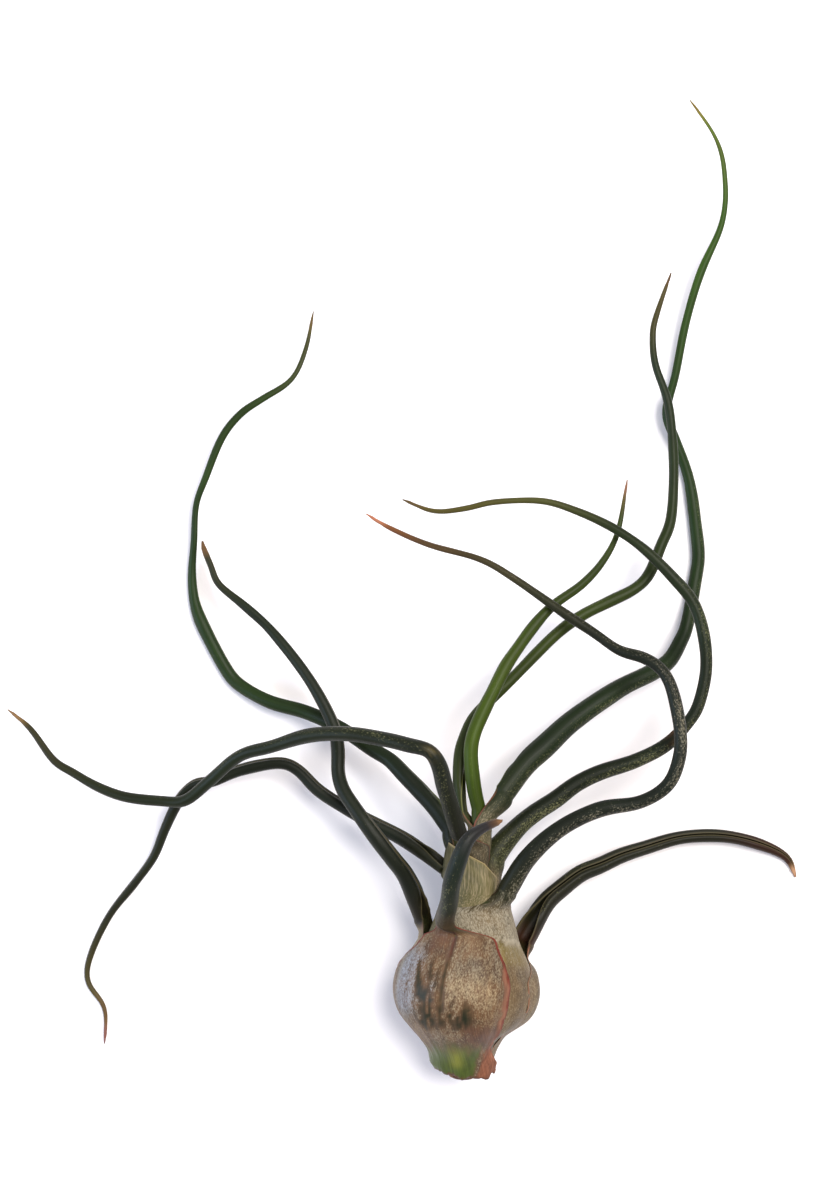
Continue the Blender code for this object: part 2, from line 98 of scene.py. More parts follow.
# ---- numbers ----
def limited(value):
    return np.clip(value, 0.0, 1.0)


def smooth(value):
    value = limited(value)
    return value * value * (3.0 - 2.0 * value)


def band(value, low, high, soft):
    """1 between low and high, fading to 0 over soft at either end."""
    return smooth((value - low) / soft + 0.5) * smooth((high - value) / soft + 0.5)


def bell(value, middle, width):
    """1 at the middle, fading to nothing over a few widths."""
    return np.exp(-(((value - middle) / width) ** 2))


def grain(x, y, seed):
    """Smooth repeatable noise over a plane, from -1 to 1."""
    x = np.asarray(x, dtype=float)
    y = np.asarray(y, dtype=float)
    column = np.floor(x)
    row = np.floor(y)
    a = smooth(x - column)
    b = smooth(y - row)

    def corner(i, j):
        value = np.sin(i * 127.1 + j * 311.7 + seed * 74.7) * 43758.5453
        return value - np.floor(value)

    low = corner(column, row) * (1 - a) + corner(column + 1, row) * a
    high = corner(column, row + 1) * (1 - a) + corner(column + 1, row + 1) * a
    return 2.0 * (low * (1 - b) + high * b) - 1.0


def layered(x, y, seed):
    """Noise with three octaves."""
    return (
        0.57 * grain(x, y, seed)
        + 0.29 * grain(2.1 * x + 5.2, 2.1 * y + 1.3, seed + 3)
        + 0.14 * grain(4.3 * x + 9.1, 4.3 * y + 7.7, seed + 7)
    )


def linear(rgb):
    """Display colour, 0 to 255, as linear light."""
    value = np.asarray(rgb, dtype=float) / 255.0
    return np.where(value <= 0.04045, value / 12.92, ((value + 0.055) / 1.055) ** 2.4)


def mix(first, second, share):
    share = np.asarray(share)[..., None]
    return first * (1.0 - share) + second * share


def unit(vectors):
    return vectors / np.linalg.norm(vectors, axis=-1, keepdims=True)


def bell_weights(reach, width):
    """Weights that ease a column of values kept at even steps."""
    weights = np.exp(-0.5 * (np.arange(-reach, reach + 1) * EVEN_STEP / width) ** 2)
    return weights / weights.sum()


# ---- the bulb ----
FINE_ALONG = np.arange(-6.0, 96.0, EVEN_STEP)
BULB_REACH = 14
BULB_WEIGHTS = bell_weights(BULB_REACH, 1.1)


def rounded(column):
    """A column of the bulb's table at even steps, without its corners."""
    values = np.interp(FINE_ALONG, BULB[:, 0], BULB[:, column])
    padded = np.pad(values, BULB_REACH, mode="edge")
    return np.convolve(padded, BULB_WEIGHTS, mode="valid")


FINE_RADIUS = rounded(1)
FINE_SPACING = rounded(2)


def sheath_radius(depth, along):
    """Radius of the sheath that lies so many spacings inside the outermost one."""
    spacing = np.interp(along, FINE_ALONG, FINE_SPACING)
    return np.interp(along, FINE_ALONG, FINE_RADIUS) - depth * spacing


def axis_point(along):
    return AXIS_BASE + AXIS_DIR * np.asarray(along)[..., None]


def facing(azimuth):
    turn = np.radians(np.asarray(azimuth, dtype=float))[..., None]
    return AXIS_UP * np.cos(turn) + AXIS_RIGHT * np.sin(turn)


def bulb_place(points):
    """Distance along the axis, distance from it, and azimuth, of points."""
    out = points - AXIS_BASE
    along = out @ AXIS_DIR
    side = out - along[..., None] * AXIS_DIR
    away = np.linalg.norm(side, axis=-1)
    azimuth = np.degrees(np.arctan2(side @ AXIS_RIGHT, side @ AXIS_UP))
    return along, away, azimuth


# ---- the run of one leaf ----
def curve_between(p0, p1, p2, p3, steps=24):
    """Points of the smooth curve from p1 toward p2, whose neighbours are p0 and p3."""
    t = (np.arange(steps) / steps)[:, None]
    return 0.5 * (
        2.0 * p1
        + (p2 - p0) * t
        + (2.0 * p0 - 5.0 * p1 + 4.0 * p2 - p3) * t**2
        + (3.0 * p1 - p0 - 3.0 * p2 + p3) * t**3
    )


def at_even_steps(want, lengths, table):
    return np.stack([np.interp(want, lengths, table[:, k]) for k in range(4)], axis=1)


def even_route(route):
    """The blade's centre line and radius at even steps, and the distance travelled to each."""
    rows = np.array(route)
    padded = np.vstack((2 * rows[0] - rows[1], rows, 2 * rows[-1] - rows[-2]))
    padded[0, 3] = rows[0, 3]
    padded[-1, 3] = rows[-1, 3]
    pieces = [curve_between(*four) for four in zip(padded, padded[1:], padded[2:], padded[3:])]
    fine = np.vstack(pieces + [rows[-1:]])
    steps = np.linalg.norm(np.diff(fine[:, :3], axis=0), axis=1)
    lengths = np.concatenate(((0.0,), np.cumsum(steps)))
    even = np.arange(0.0, lengths[-1], EVEN_STEP)
    table = at_even_steps(even, lengths, fine)
    reach = 10
    before = 2 * table[0] - table[reach:0:-1]
    after = 2 * table[-1] - table[-2 : -reach - 2 : -1]
    weights = bell_weights(reach, 0.9)
    long = np.vstack((before, table, after))
    eased = np.stack([np.convolve(long[:, k], weights, mode="valid") for k in range(4)], axis=1)
    eased[:, 3] = np.maximum(eased[:, 3], THINNEST_BLADE)
    want = np.linspace(0.0, even[-1], max(8, int(round(even[-1] / ALONG_BLADE))))
    return at_even_steps(want, even, eased), want


def half_wrap(leaf, side, along):
    """How far the sheath reaches round to a side (0 left, 1 right) at a distance along the bulb."""
    rows = np.array(leaf["margins"][side])
    return float(np.interp(along, rows[:, 0], rows[:, 1]))


def leaf_run(leaf):
    """The leaf's rings, as one array for each of their values: sheath, blend, then blade."""
    depth = leaf["depth"]
    start = leaf["start"]
    leave = leaf["leave"]
    blade, travelled = even_route(leaf["route"])
    near_foot = bell(travelled, 0.0, 6.0)
    blade_centre = blade[:, :3] + near_foot[:, None] * np.array(leaf["base_shift"])
    blade_radius = blade[:, 3] * (1.0 + leaf["flare"] * near_foot)
    blade_centre[:, 2] = np.maximum(blade_centre[:, 2], blade_radius)
    heading = unit(np.gradient(blade_centre, axis=0))
    blend_end = float(bulb_place(blade_centre[:1])[0][0])

    rows = []
    for u in np.linspace(start, leave, max(4, int((leave - start) / ALONG_SHEATH))):
        radius = float(sheath_radius(depth, u))
        wraps = (half_wrap(leaf, 0, u), half_wrap(leaf, 1, u))
        rows.append((axis_point(u), AXIS_DIR, radius, SHEATH_WALL, *wraps, 1.0, 0.0))
    steps = max(6, int((blend_end - leave) / ALONG_SHEATH))
    strip = blade_radius[0] * math.radians(BLADE_BASE_WRAP)
    for k in range(1, steps):
        share = k / steps
        u = leave + (blend_end - leave) * share
        radius = float(sheath_radius(depth, u))
        wraps = []
        for side in (0, 1):
            narrowed = float(smooth((share - leaf["narrowing"][side]) / leaf["narrowing"][2]))
            full = radius * math.radians(half_wrap(leaf, side, u))
            wraps.append(math.degrees((full + (strip - full) * narrowed) / radius))
        rows.append((axis_point(u), AXIS_DIR, radius, SHEATH_WALL, *wraps, 1.0 - share, 0.0))
    first_blade = len(rows)
    for k, (centre, direction, radius) in enumerate(zip(blade_centre, heading, blade_radius)):
        closed = float(smooth(travelled[k] / leaf["closing"]))
        wrap = BLADE_BASE_WRAP + (BLADE_WRAP - BLADE_BASE_WRAP) * closed
        share = travelled[k] / travelled[-1]
        rows.append((centre, direction, radius, BLADE_WALL * radius, wrap, wrap, 0.0, share))
    numbers = np.array([row[2:] for row in rows])
    run = SimpleNamespace(blade_length=travelled[-1], first_blade=first_blade, blend_end=blend_end)
    run.radius, run.wall, run.left, run.right, run.sheath, run.blade = numbers.T
    run.centre = np.array([row[0] for row in rows])
    run.direction = np.array([row[1] for row in rows])
    return run


def carried_normals(leaf, run):
    """The leaf's back direction at each ring, carried along without spin, plus the leaf's own twist."""
    outward = facing(leaf["azimuth"])
    twist_from, twist_over = leaf["twist_span"]
    normals = []
    travelled = 0.0
    centre = run.centre
    for i, direction in enumerate(run.direction):
        outward = unit(outward - direction * outward.dot(direction))
        if run.sheath[i] < 1.0:
            travelled += np.linalg.norm(centre[i] - centre[i - 1])
        turned = math.radians(leaf["twist"]) * float(smooth((travelled - twist_from) / twist_over))
        across = np.cross(direction, outward)
        normals.append(outward * math.cos(turned) + across * math.sin(turned))
    return np.array(normals)


# ---- the skin of one leaf ----
def ring_grid(leaf, run):
    """Values at every vertex, as arrays of rings by points: outer face first, then inner face."""
    share = np.concatenate((np.linspace(-1.0, 1.0, OUTER_POINTS), np.linspace(1.0, -1.0, INNER_POINTS)))
    inside = np.concatenate((np.zeros(OUTER_POINTS), np.ones(INNER_POINTS)))
    count = len(run.radius)
    everywhere = np.ones((count, RING))
    grid = SimpleNamespace()
    for key in ("radius", "wall", "left", "sheath", "blade"):
        setattr(grid, key, getattr(run, key)[:, None] * everywhere)
    wrap = np.where(share < 0.0, run.left[:, None], run.right[:, None])
    steps = np.linalg.norm(np.diff(run.centre, axis=0), axis=1)
    grid.share = share * everywhere
    grid.inside = inside * everywhere
    grid.degrees = share * wrap
    grid.arc = np.radians(grid.degrees) * grid.radius
    grid.edge = (1.0 - np.abs(share)) * np.radians(wrap) * grid.radius
    grid.travel = np.concatenate(((0.0,), np.cumsum(steps)))[:, None] * everywhere
    dried = leaf["tip_length"] / run.blade_length
    grid.tip = smooth((grid.blade - 1.0 + dried) / dried)
    return grid


def surface_lift(leaf, run, grid):
    """How far each vertex stands off the plain tube of its ring."""
    seed = leaf["seed"]
    arc, edge, share, travel, radius = grid.arc, grid.edge, grid.share, grid.travel, grid.radius
    on_sheath = smooth(grid.sheath)
    # the blade's margins roll inwards
    curl = smooth(1.0 - edge / (0.55 * radius)) * (1.0 - on_sheath)
    lift = -0.20 * radius * curl * smooth((grid.left - 120.0) / 40.0)
    # margins of the sheaths settle onto the leaf below
    along_axis = np.clip(bulb_place(run.centre)[0], 0.0, 90.0)[:, None]
    spacing = np.interp(along_axis, FINE_ALONG, FINE_SPACING)
    spacing = spacing * smooth((along_axis - leaf["settle_from"]) / 4.0)
    for (drop, width), sign in zip(leaf["settle"], (-1.0, 1.0)):
        lift -= drop * spacing * smooth(1.0 - edge / width) * (share * sign > 0.0) * on_sheath
    # long soft ribs, broad unevenness, and a finer wrinkling
    ribs = grain(arc / 1.15, travel / 30.0, seed) * 0.055
    uneven = layered(arc / 7.0, travel / 9.0, seed + 11) * 0.16
    wrinkle = layered(arc / 0.9, travel / 3.6, seed + 23) * 0.05
    lift += (ribs + uneven + wrinkle) * on_sheath
    fine = 0.02 * grain(arc / 0.45, travel / 14.0, seed + 31)
    fine += 0.05 * grain(arc / 9.0, travel / 5.0, seed + 37)
    lift += fine * (1.0 - on_sheath) * np.minimum(1.0, radius)
    # margins waver a little
    waver = 0.22 * grain(travel / 2.1, share * 2.0, seed + 41)
    waver += 0.10 * grain(travel / 0.7, share * 2.0, seed + 43)
    lift += waver * smooth(1.0 - edge / 1.4) * on_sheath
    # shrivelled tip
    shrivel = 0.30 * grain(np.radians(grid.degrees) * 1.6, travel / 1.3, seed + 47) - 0.16
    lift += radius * shrivel * grid.tip
    return lift


def margin_turn(leaf, grid):
    """Angle of each vertex around its ring, with the sheath's margins a little ragged."""
    share = grid.share
    travel = grid.travel
    torn = 1.6 * grain(travel / 1.9, share * 1.5, leaf["seed"] + 51)
    torn += grain(travel / 0.6, share * 1.5, leaf["seed"] + 53)
    torn = torn * leaf["ragged"] / np.maximum(grid.radius, 1.0)
    torn = torn * smooth(np.abs(share) * 4.0 - 3.0) * smooth(grid.sheath)
    return np.radians(grid.degrees) + torn * 0.14 * np.sign(share)


def tube_faces(count, ring):
    """Quads between the rings of a tube."""
    index = np.arange(count * ring).reshape(count, ring)
    turned = np.roll(index, -1, axis=1)
    quads = np.stack((index[:-1], turned[:-1], turned[1:], index[1:]), axis=-1)
    return [tuple(quad) for quad in quads.reshape(-1, 4).tolist()]


def leaf_faces(count):
    """The leaf's inner and outer faces, and fans that close its wall at both ends."""
    faces = tube_faces(count, RING)
    pick = np.round(np.linspace(0, OUTER_POINTS - 1, INNER_POINTS)).astype(int)
    for row, flip in ((0, True), (count - 1, False)):
        base = row * RING
        for k in range(INNER_POINTS - 1):
            fan = [base + p for p in range(pick[k], pick[k + 1] + 1)]
            fan += [base + RING - 2 - k, base + RING - 1 - k]
            faces.append(tuple(reversed(fan)) if flip else tuple(fan))
    return faces


def leaf_skin(leaf):
    """Vertices, faces and painted values of one leaf."""
    run = leaf_run(leaf)
    grid = ring_grid(leaf, run)
    normal = carried_normals(leaf, run)[:, None, :]
    across = np.cross(run.direction, normal[:, 0, :])[:, None, :]
    centre = run.centre
    on_sheath = smooth(grid.sheath)

    # both walls thin to their margins, the papery sheath over a wider band
    thin = smooth(grid.edge / (0.9 + 1.6 * on_sheath))
    depth_in = grid.wall * (0.22 + 0.78 * thin) * grid.inside
    to_end = (grid.blade - 1.0) * run.blade_length
    taper = 1.0 - 0.55 * smooth((to_end + 1.5) / 1.5)
    body = (grid.radius + surface_lift(leaf, run, grid)) * taper - depth_in * taper
    turn = margin_turn(leaf, grid)[..., None]
    side = normal * np.cos(turn) + across * np.sin(turn)
    verts = centre[:, None, :] + side * body[..., None]

    # above its sheath the leaf rolls up from the bulb's surface into the first ring of the blade
    first = run.first_blade
    rolled = (1.0 - run.sheath[:first] - leaf["rolling"]) / (1.0 - leaf["rolling"])
    rolled = smooth(rolled)[:, None, None]
    short = run.blend_end - bulb_place(centre[:first])[0]
    ring_below = verts[first] - AXIS_DIR * short[:, None, None]
    verts[:first] = verts[:first] * (1.0 - rolled) + ring_below * rolled

    # the torn lower rim, rounded off on the left, and the right margin that rises at the mouth
    degrees = grid.degrees
    torn_rim = leaf["torn_rim"] * (layered(degrees / 14.0, degrees * 0.0, leaf["seed"] + 61) - 0.2)
    rim_fade = smooth(1.0 - grid.travel / 2.2)
    rise = leaf["mouth"] * np.sin(np.pi * limited(1.0 - grid.sheath))
    rise = rise * smooth((grid.share - 0.4) / 0.6) * (grid.sheath < 1.0)
    verts = verts + AXIS_DIR * (torn_rim * rim_fade + rise)[..., None]
    along, away, azimuth = bulb_place(verts)
    lateral = np.sin(np.radians(azimuth))
    verts = verts + AXIS_DIR * (1.4 * smooth((-lateral - 0.5) / 0.5) * rim_fade)[..., None]

    # the bulb is a little wider than deep, and pinched low on its right
    wider = 0.6 * band(along, 9.0, 25.0, 6.0) + 1.1 * smooth((5.0 - along) / 5.0)
    pinch = 1.4 * bell(along, 8.0, 2.8) * smooth((lateral - 0.55) / 0.4)
    outward = unit(verts - axis_point(along))
    verts = verts + outward * ((wider * lateral**2 - pinch) * on_sheath)[..., None]

    # level is distance up the bulb as it shows from above, where what stands higher shows lower down
    grid.level = along - 0.285 * away * np.cos(np.radians(azimuth))
    grid.azimuth = azimuth
    if leaf["relief"]:
        verts = verts + side * leaf["relief"](grid)[..., None]
    verts[..., 2] = np.clip(verts[..., 2], SURFACE_GAP, CAD_BOX[1][2] / MM - SURFACE_GAP)
    return verts.reshape(-1, 3), leaf_faces(len(centre)), paint_leaf(leaf, grid)


# ---- colour ----
SCALE_WARM = linear((166, 150, 118))
SCALE_GREY = linear((146, 142, 128))
SCALE_BLADE = linear((144, 146, 104))
PAPER = (158, 114, 92)
BARK = (92, 58, 40)
INNER_FACE = (92, 104, 58)
BLADE_HUE = np.array((1.08, 1.08, 0.56))
BLADE_FELT = 0.24


def stops(blade, table):
    """Colour along the blade from a short list of (share of the length, colour)."""
    where = [row[0] for row in table]
    colours = np.array([linear(row[1]) for row in table])
    return np.stack([np.interp(blade, where, colours[:, k]) for k in range(3)], axis=-1)


class Coat:
    """What shows on a leaf: tissue and scale colours, and how far it is scaled, dry and wet."""

    def __init__(self, tissue, tint, cover):
        self.tissue = tissue
        self.tint = tint
        self.cover = cover
        self.dry = np.zeros_like(cover)
        self.wet = np.zeros_like(cover)

    def stain(self, rgb, share, strength=1.0, uneven=0.0, bare=0.0, dry=0.0, wet=0.0):
        """Colour the tissue over a share of each place, and clear, dry or wet it there."""
        colour = linear(rgb) * np.asarray(1.0 + uneven)[..., None]
        self.tissue = mix(self.tissue, colour, share * strength)
        self.cover = self.cover * (1.0 - bare * share)
        self.dry = np.maximum(self.dry, dry * share)
        self.wet = np.maximum(self.wet, wet * share)

    def add_scales(self, amount):
        self.cover = limited(self.cover + amount)

    def tint_scales(self, rgb, share):
        self.tint = mix(self.tint, linear(rgb), share)


def paint_leaf(leaf, grid):
    """The attributes that the leaf's material reads, for every vertex."""
    seed = leaf["seed"]
    arc, edge, travel, sheath, blade = grid.arc, grid.edge, grid.travel, grid.sheath, grid.blade
    broad = layered(arc / 5.0, travel / 8.0, seed + 71)
    streak = layered(arc / 0.8, travel / 11.0, seed + 73)
    mottle = layered(arc / 1.3, travel / 1.6, seed + 79)

    green = stops(blade, leaf["colours"])
    green = green * BLADE_HUE * (1.0 + 0.22 * broad + 0.16 * streak)[..., None]
    husk = linear(leaf["husk"])
    husk = mix(husk, linear(leaf["blotch"]), smooth(0.5 + 0.6 * broad + 0.6 * mottle))
    husk = husk * (1.0 + 0.18 * streak)[..., None]
    change = smooth((sheath - leaf["change"][0]) / leaf["change"][1] + 0.12 * streak + 0.1 * broad)
    tissue = mix(green, husk, change)

    blade_cover = leaf["blade_cover"] * (1.0 - 0.8 * smooth((blade - 0.35) / 0.6))
    cover = blade_cover + (leaf["sheath_cover"] - blade_cover) * smooth(sheath * 1.4 + 0.1 * broad)
    back = bell(grid.degrees, 0.0, 62.0) + 0.55 * bell(np.abs(grid.degrees), 140.0, 22.0)
    cover = cover + 0.10 * broad + 0.08 * streak + BLADE_FELT * back * (1.0 - smooth(sheath * 2.0))
    tint = mix(SCALE_WARM, SCALE_GREY, limited(0.35 + 0.7 * broad))
    tint = mix(tint, SCALE_BLADE, 1.0 - smooth(sheath * 1.6))

    coat = Coat(tissue, tint, cover)

    # the papery margin of the sheath, and the coloured line on its rim
    line, line_width, paper_width = leaf["margin_look"]
    paper_width = paper_width * (grid.share > 0.0) * band(grid.level, -2.0, 22.0, 6.0)
    on_sheath = smooth(sheath * 3.0)
    wavering = 1.0 + 0.45 * grain(travel / 1.7, grid.share, seed + 83)
    paper = smooth((paper_width * wavering - edge) / 0.6) * on_sheath * (paper_width > 0.05)
    coat.stain(PAPER, paper, uneven=0.25 * mottle, bare=0.8, dry=1.0)
    rim = smooth((line_width * wavering - edge) / 0.25 + 0.5) * on_sheath
    coat.stain(line, rim, uneven=0.3 * mottle, bare=1.0)

    # the groove of the blade is paler
    groove = smooth((0.35 - edge) / 0.3) * (1.0 - on_sheath) * (grid.tip < 0.9)
    coat.tissue = mix(coat.tissue, coat.tissue * 0.5 + linear(leaf["groove"]) * 0.5, groove * 0.8)

    # inner faces are smooth, pale and green
    coat.stain(INNER_FACE, grid.inside, 0.6 * smooth(sheath * 2.0), bare=0.85)

    # the dried tip
    tip = limited(grid.tip + 0.25 * mottle * grid.tip)
    coat.stain(leaf["tip_colour"], smooth(tip * 1.3), uneven=0.25 * streak)
    coat.cover = coat.cover * (1.0 - 0.8 * smooth(tip * 1.5))
    coat.dry = np.maximum(coat.dry, smooth(tip * 1.2))

    if leaf["marks"]:
        leaf["marks"](grid, coat)
    paint = {"lay": np.stack((travel, arc + 40.0 * grid.inside, np.full_like(arc, 3.7 * seed)), axis=-1)}
    for key in ("tissue", "tint", "cover", "dry", "wet"):
        paint[key] = limited(getattr(coat, key))
    return paint


# ---- what single leaves have of their own ----
def front_crease(level):
    """Azimuth of the crease that runs down the front sheath."""
    return -21.0 + 2.0 * np.sin(level / 4.0)


def front_relief(grid):
    """The front sheath's crease, the fan of wrinkles under its blade, and the folds of its foot."""
    level = grid.level
    azimuth = grid.azimuth
    crease = bell(azimuth, front_crease(level), 2.2) * band(level, 12.0, 30.0, 4.0)
    fan_top = 31.5
    fan_angle = np.degrees(np.arctan2((azimuth + 25.0) * 0.21, np.maximum(fan_top - level, 0.4)))
    fan = grain(fan_angle / 7.5, level / 9.0, 5) * band(level, 16.0, 30.0, 7.0) * bell(azimuth, -22.0, 34.0)
    lower = np.abs(grain(grid.degrees / 5.5, level / 40.0, 9)) * band(level, 3.0, 12.0, 4.0)
    return (-0.40 * crease + 0.20 * fan - 0.20 * lower) * smooth(grid.sheath * 2.0)


def front_marks(grid, coat):
    """The front sheath: dark crease, soaked streaks, flushes, green base, torn papery corner, and painted
    highlights on its flank, back and base.
    """
    level, azimuth, outside = grid.level, grid.azimuth, grid.inside < 0.5
    rough = layered(azimuth / 6.0, level / 1.8, 17)
    fine = layered(azimuth / 2.0, level / 1.2, 19)
    # dark line of the crease: red above, green below
    crease = bell(azimuth, front_crease(level), 1.5 + 0.6 * fine) * band(level, 12.0, 31.0, 3.0)
    crease = crease * outside * smooth(grid.sheath * 2.5 - 0.6) * (0.7 + 0.3 * smooth(0.5 + fine))
    line = mix(linear((34, 40, 24)), linear((84, 40, 28)), smooth((level - 21.0) / 4.0))
    coat.tissue = mix(coat.tissue, line, crease * 0.85)
    coat.cover = coat.cover * (1.0 - 0.9 * crease)
    # slit and wet green streaks on the left
    bent = azimuth + 3.0 * grain(level / 2.6, azimuth / 9.0, 23) + 1.5 * fine
    drip = layered(bent / 3.4, level / 6.5, 21)
    slit_line = -40.4 - 1.65 * np.maximum(level - 15.7, 0.0)
    slit_width = np.interp(level, (15.0, 18.0, 22.0), (3.2, 2.6, 1.0))
    slit = bell(azimuth + fine, slit_line, slit_width) * band(level + fine, 14.6, 22.4, 2.0)
    uneven = level + 1.5 * rough
    streaks = smooth((drip + 0.45) * 2.4) * band(bent, -45.0, -29.0, 7.0) * band(uneven, 8.4, 16.0, 3.0)
    low = smooth((drip + 0.30) * 2.4) * band(bent, -26.0, 2.0, 10.0) * band(uneven, 9.0, 13.2, 2.5)
    high = smooth((drip + 0.05) * 2.4) * band(bent, -40.0, -26.0, 8.0) * band(level, 13.0, 22.0, 5.0)
    soaked = limited(1.1 * slit + 1.1 * streaks + 0.8 * low + 0.45 * high) * outside
    soaked = limited(1.25 * soaked) * (0.8 + 0.2 * smooth(0.5 + rough))
    coat.stain((22, 34, 18), soaked, 0.95, bare=0.92, wet=0.25)
    # purple flush under the blade and across the lower right
    flush = band(azimuth, -48.0, -22.0, 14.0) * band(level, 23.5, 29.5, 4.0) * (0.5 + 0.4 * rough)
    flush = flush + band(azimuth, -2.0, 38.0, 12.0) * band(level, 5.6, 9.2, 2.0) * (0.7 + 0.4 * rough)
    coat.stain((96, 60, 50), limited(flush) * outside, 0.5, bare=0.45)
    # the green living base
    base = smooth((6.4 + 1.2 * rough - level) / 4.0) * smooth((24.0 + 5.0 * fine - azimuth) / 8.0) * outside
    coat.stain((74, 88, 36), base, uneven=0.3 * fine, bare=0.85, wet=0.8)
    # painted highlight: a brighter yellow-green patch where the base faces up
    painted_base_highlight = base * bell(azimuth, -12.0, 11.0) * band(level, 0.6, 4.6, 2.0)
    coat.stain((128, 130, 50), painted_base_highlight, 0.8)
    # papery lower right corner and torn rim
    corner = smooth((azimuth - 27.0 - 5.0 * fine) / 9.0) * smooth((7.5 - level) / 2.0)
    coat.stain((150, 100, 76), corner, uneven=0.6 * rough + 0.4 * fine, bare=0.7, dry=1.0)
    rim = smooth((0.55 + 0.5 * rough - grid.travel) / 0.5)
    coat.stain(BARK, rim, uneven=0.4 * fine, bare=1.0)
    # silvered left flank, with more scales there and their tint turned blue as a painted highlight of the
    # cool light from the left
    silver_and_blue_sheen = band(azimuth, -74.0, -46.0, 16.0) * band(level, 11.0, 25.0, 6.0)
    blue_sheen_beside = band(azimuth, -46.0, -30.0, 10.0) * band(level, 13.5, 19.0, 4.0) * smooth(0.4 + 1.2 * rough)
    silver_and_blue_sheen = np.maximum(silver_and_blue_sheen, blue_sheen_beside)
    coat.tint_scales((160, 172, 190), silver_and_blue_sheen * 0.7)
    coat.add_scales(0.10 * silver_and_blue_sheen * (1.0 - soaked))
    # painted highlight: paler, warmer and slightly denser scales where the back swells most and faces the
    # warm light
    painted_warm_highlight = band(azimuth, -17.0, 24.0, 16.0) * band(level, 13.0, 19.5, 6.0)
    coat.tint_scales((190, 172, 136), painted_warm_highlight * 0.6)
    coat.add_scales(0.06 * painted_warm_highlight)
    # brown foot of the blade
    foot = band(grid.blade, -0.1, 0.16, 0.12) * smooth(1.0 - grid.sheath * 3.0)
    coat.stain((70, 56, 40), foot, 0.5)


def hook_marks(grid, coat):
    """The sheath seen to the right of the front one: frayed silvery neck over an olive shoulder."""
    level, azimuth, outside = grid.level, grid.azimuth, grid.inside < 0.5
    rough = layered(azimuth / 5.0, level / 1.6, 27)
    fine = layered(azimuth / 1.6, level / 1.1, 29)
    above = smooth((level - 26.7 - 0.9 * rough - 0.5 * fine) / 0.5)
    coat.stain((132, 118, 66), band(level, 22.5, 26.9, 2.0) * outside, 0.65)
    frayed = bell(level - 0.9 * rough, 27.0, 0.6) * band(azimuth, 44.0, 86.0, 16.0) * outside
    coat.stain((176, 168, 150), frayed, smooth(0.5 + fine))
    coat.add_scales(0.06 * above * outside + 0.16 * frayed - 0.10 * (1.0 - above))
    coat.tint_scales((166, 160, 142), above * 0.85)
    pink = band(azimuth, 36.0, 100.0, 20.0) * band(level, 8.0, 25.0, 4.0) * outside
    coat.stain((118, 86, 68), pink, 0.18)
    streak = bell(azimuth - fine, 21.0, 2.4) * band(level, 34.6, 37.4, 1.2)
    coat.stain((44, 62, 24), streak, 0.8, bare=0.7)


def bleached_base(grid, coat):
    """Pale neck where the left outer blade begins."""
    pale = band(grid.level, 24.0, 31.0, 4.0) * smooth(grid.sheath * 2.5) * (grid.inside < 0.5)
    coat.stain((158, 142, 118), pale, 0.6)
    coat.add_scales(0.12 * pale)


def dry_nick(grid, coat):
    """One dried orange nick low on the neck."""
    level = grid.level + 0.5 * grain(grid.azimuth / 5.0, grid.travel / 0.9, 45)
    nick = bell(level, 46.8, 0.9) * bell(grid.azimuth, 9.0, 9.0)
    nick = limited(nick * 1.5) * smooth(grid.sheath * 4.0 + 0.4)
    coat.stain((178, 96, 48), nick, bare=0.8, dry=1.0)


def scarred_hook(grid, coat):
    """Brown scar where the wide hook begins to turn."""
    rough = layered(grid.degrees / 30.0, grid.travel / 1.5, 37)
    scar = bell(grid.blade, 0.315, 0.012) * smooth(0.35 + 1.1 * rough)
    coat.stain((88, 60, 36), scar, dry=0.6)


def kinked(grid, coat):
    """Pale fold at the kink of the arching blade."""
    rough = layered(grid.degrees / 25.0, grid.travel, 41)
    fold = bell(grid.blade, 0.148, 0.010) * smooth(0.5 + rough)
    coat.stain((104, 92, 54), fold, 0.6)


# ---- the leaves ----
# depth: how many spacings the sheath lies inside the outermost one; azimuth: where the leaf's back
# faces; start, leave: where the sheath begins and the blade parts from it; twist_span: the travel where
# the blade's twist begins, and that it takes; closing: the travel over which the blade rolls shut;
# margins: (distance along, half angle) to the left and right of the back; narrowing: when the left and
# the right begin to narrow, and how long that takes, and rolling: when the leaf begins to roll up, as
# shares of the blend from sheath to blade; mouth: how far the right margin rises there; base_shift,
# flare: of the blade's foot; settle: how far each margin sinks onto the leaf below, and over what
# width; margin_look: its line's colour and width, and the papery band's width; change: where in the
# blend the husk's colour begins, and how long it takes; route: x, y and z of the blade's centre, and
# its radius.
TYPICAL = dict(
    slot="middle_leaf", twist=0, twist_span=(12, 40), closing=11, mouth=0, base_shift=(0, 0, 0), flare=0,
    narrowing=(0.1, 0.1, 0.5), rolling=0.1, settle=((0.5, 4), (0.5, 4)), settle_from=-8, ragged=0.3,
    torn_rim=0.8, tip_length=6, sheath_cover=0.62, blade_cover=0.2, change=(0.1, 0.6), relief=None,
    marks=None,
)
LEAVES = []


def grow(**own):
    """Add a leaf: what it has of its own, over what is typical."""
    LEAVES.append(dict(TYPICAL, seed=10 + 7 * len(LEAVES), **own))


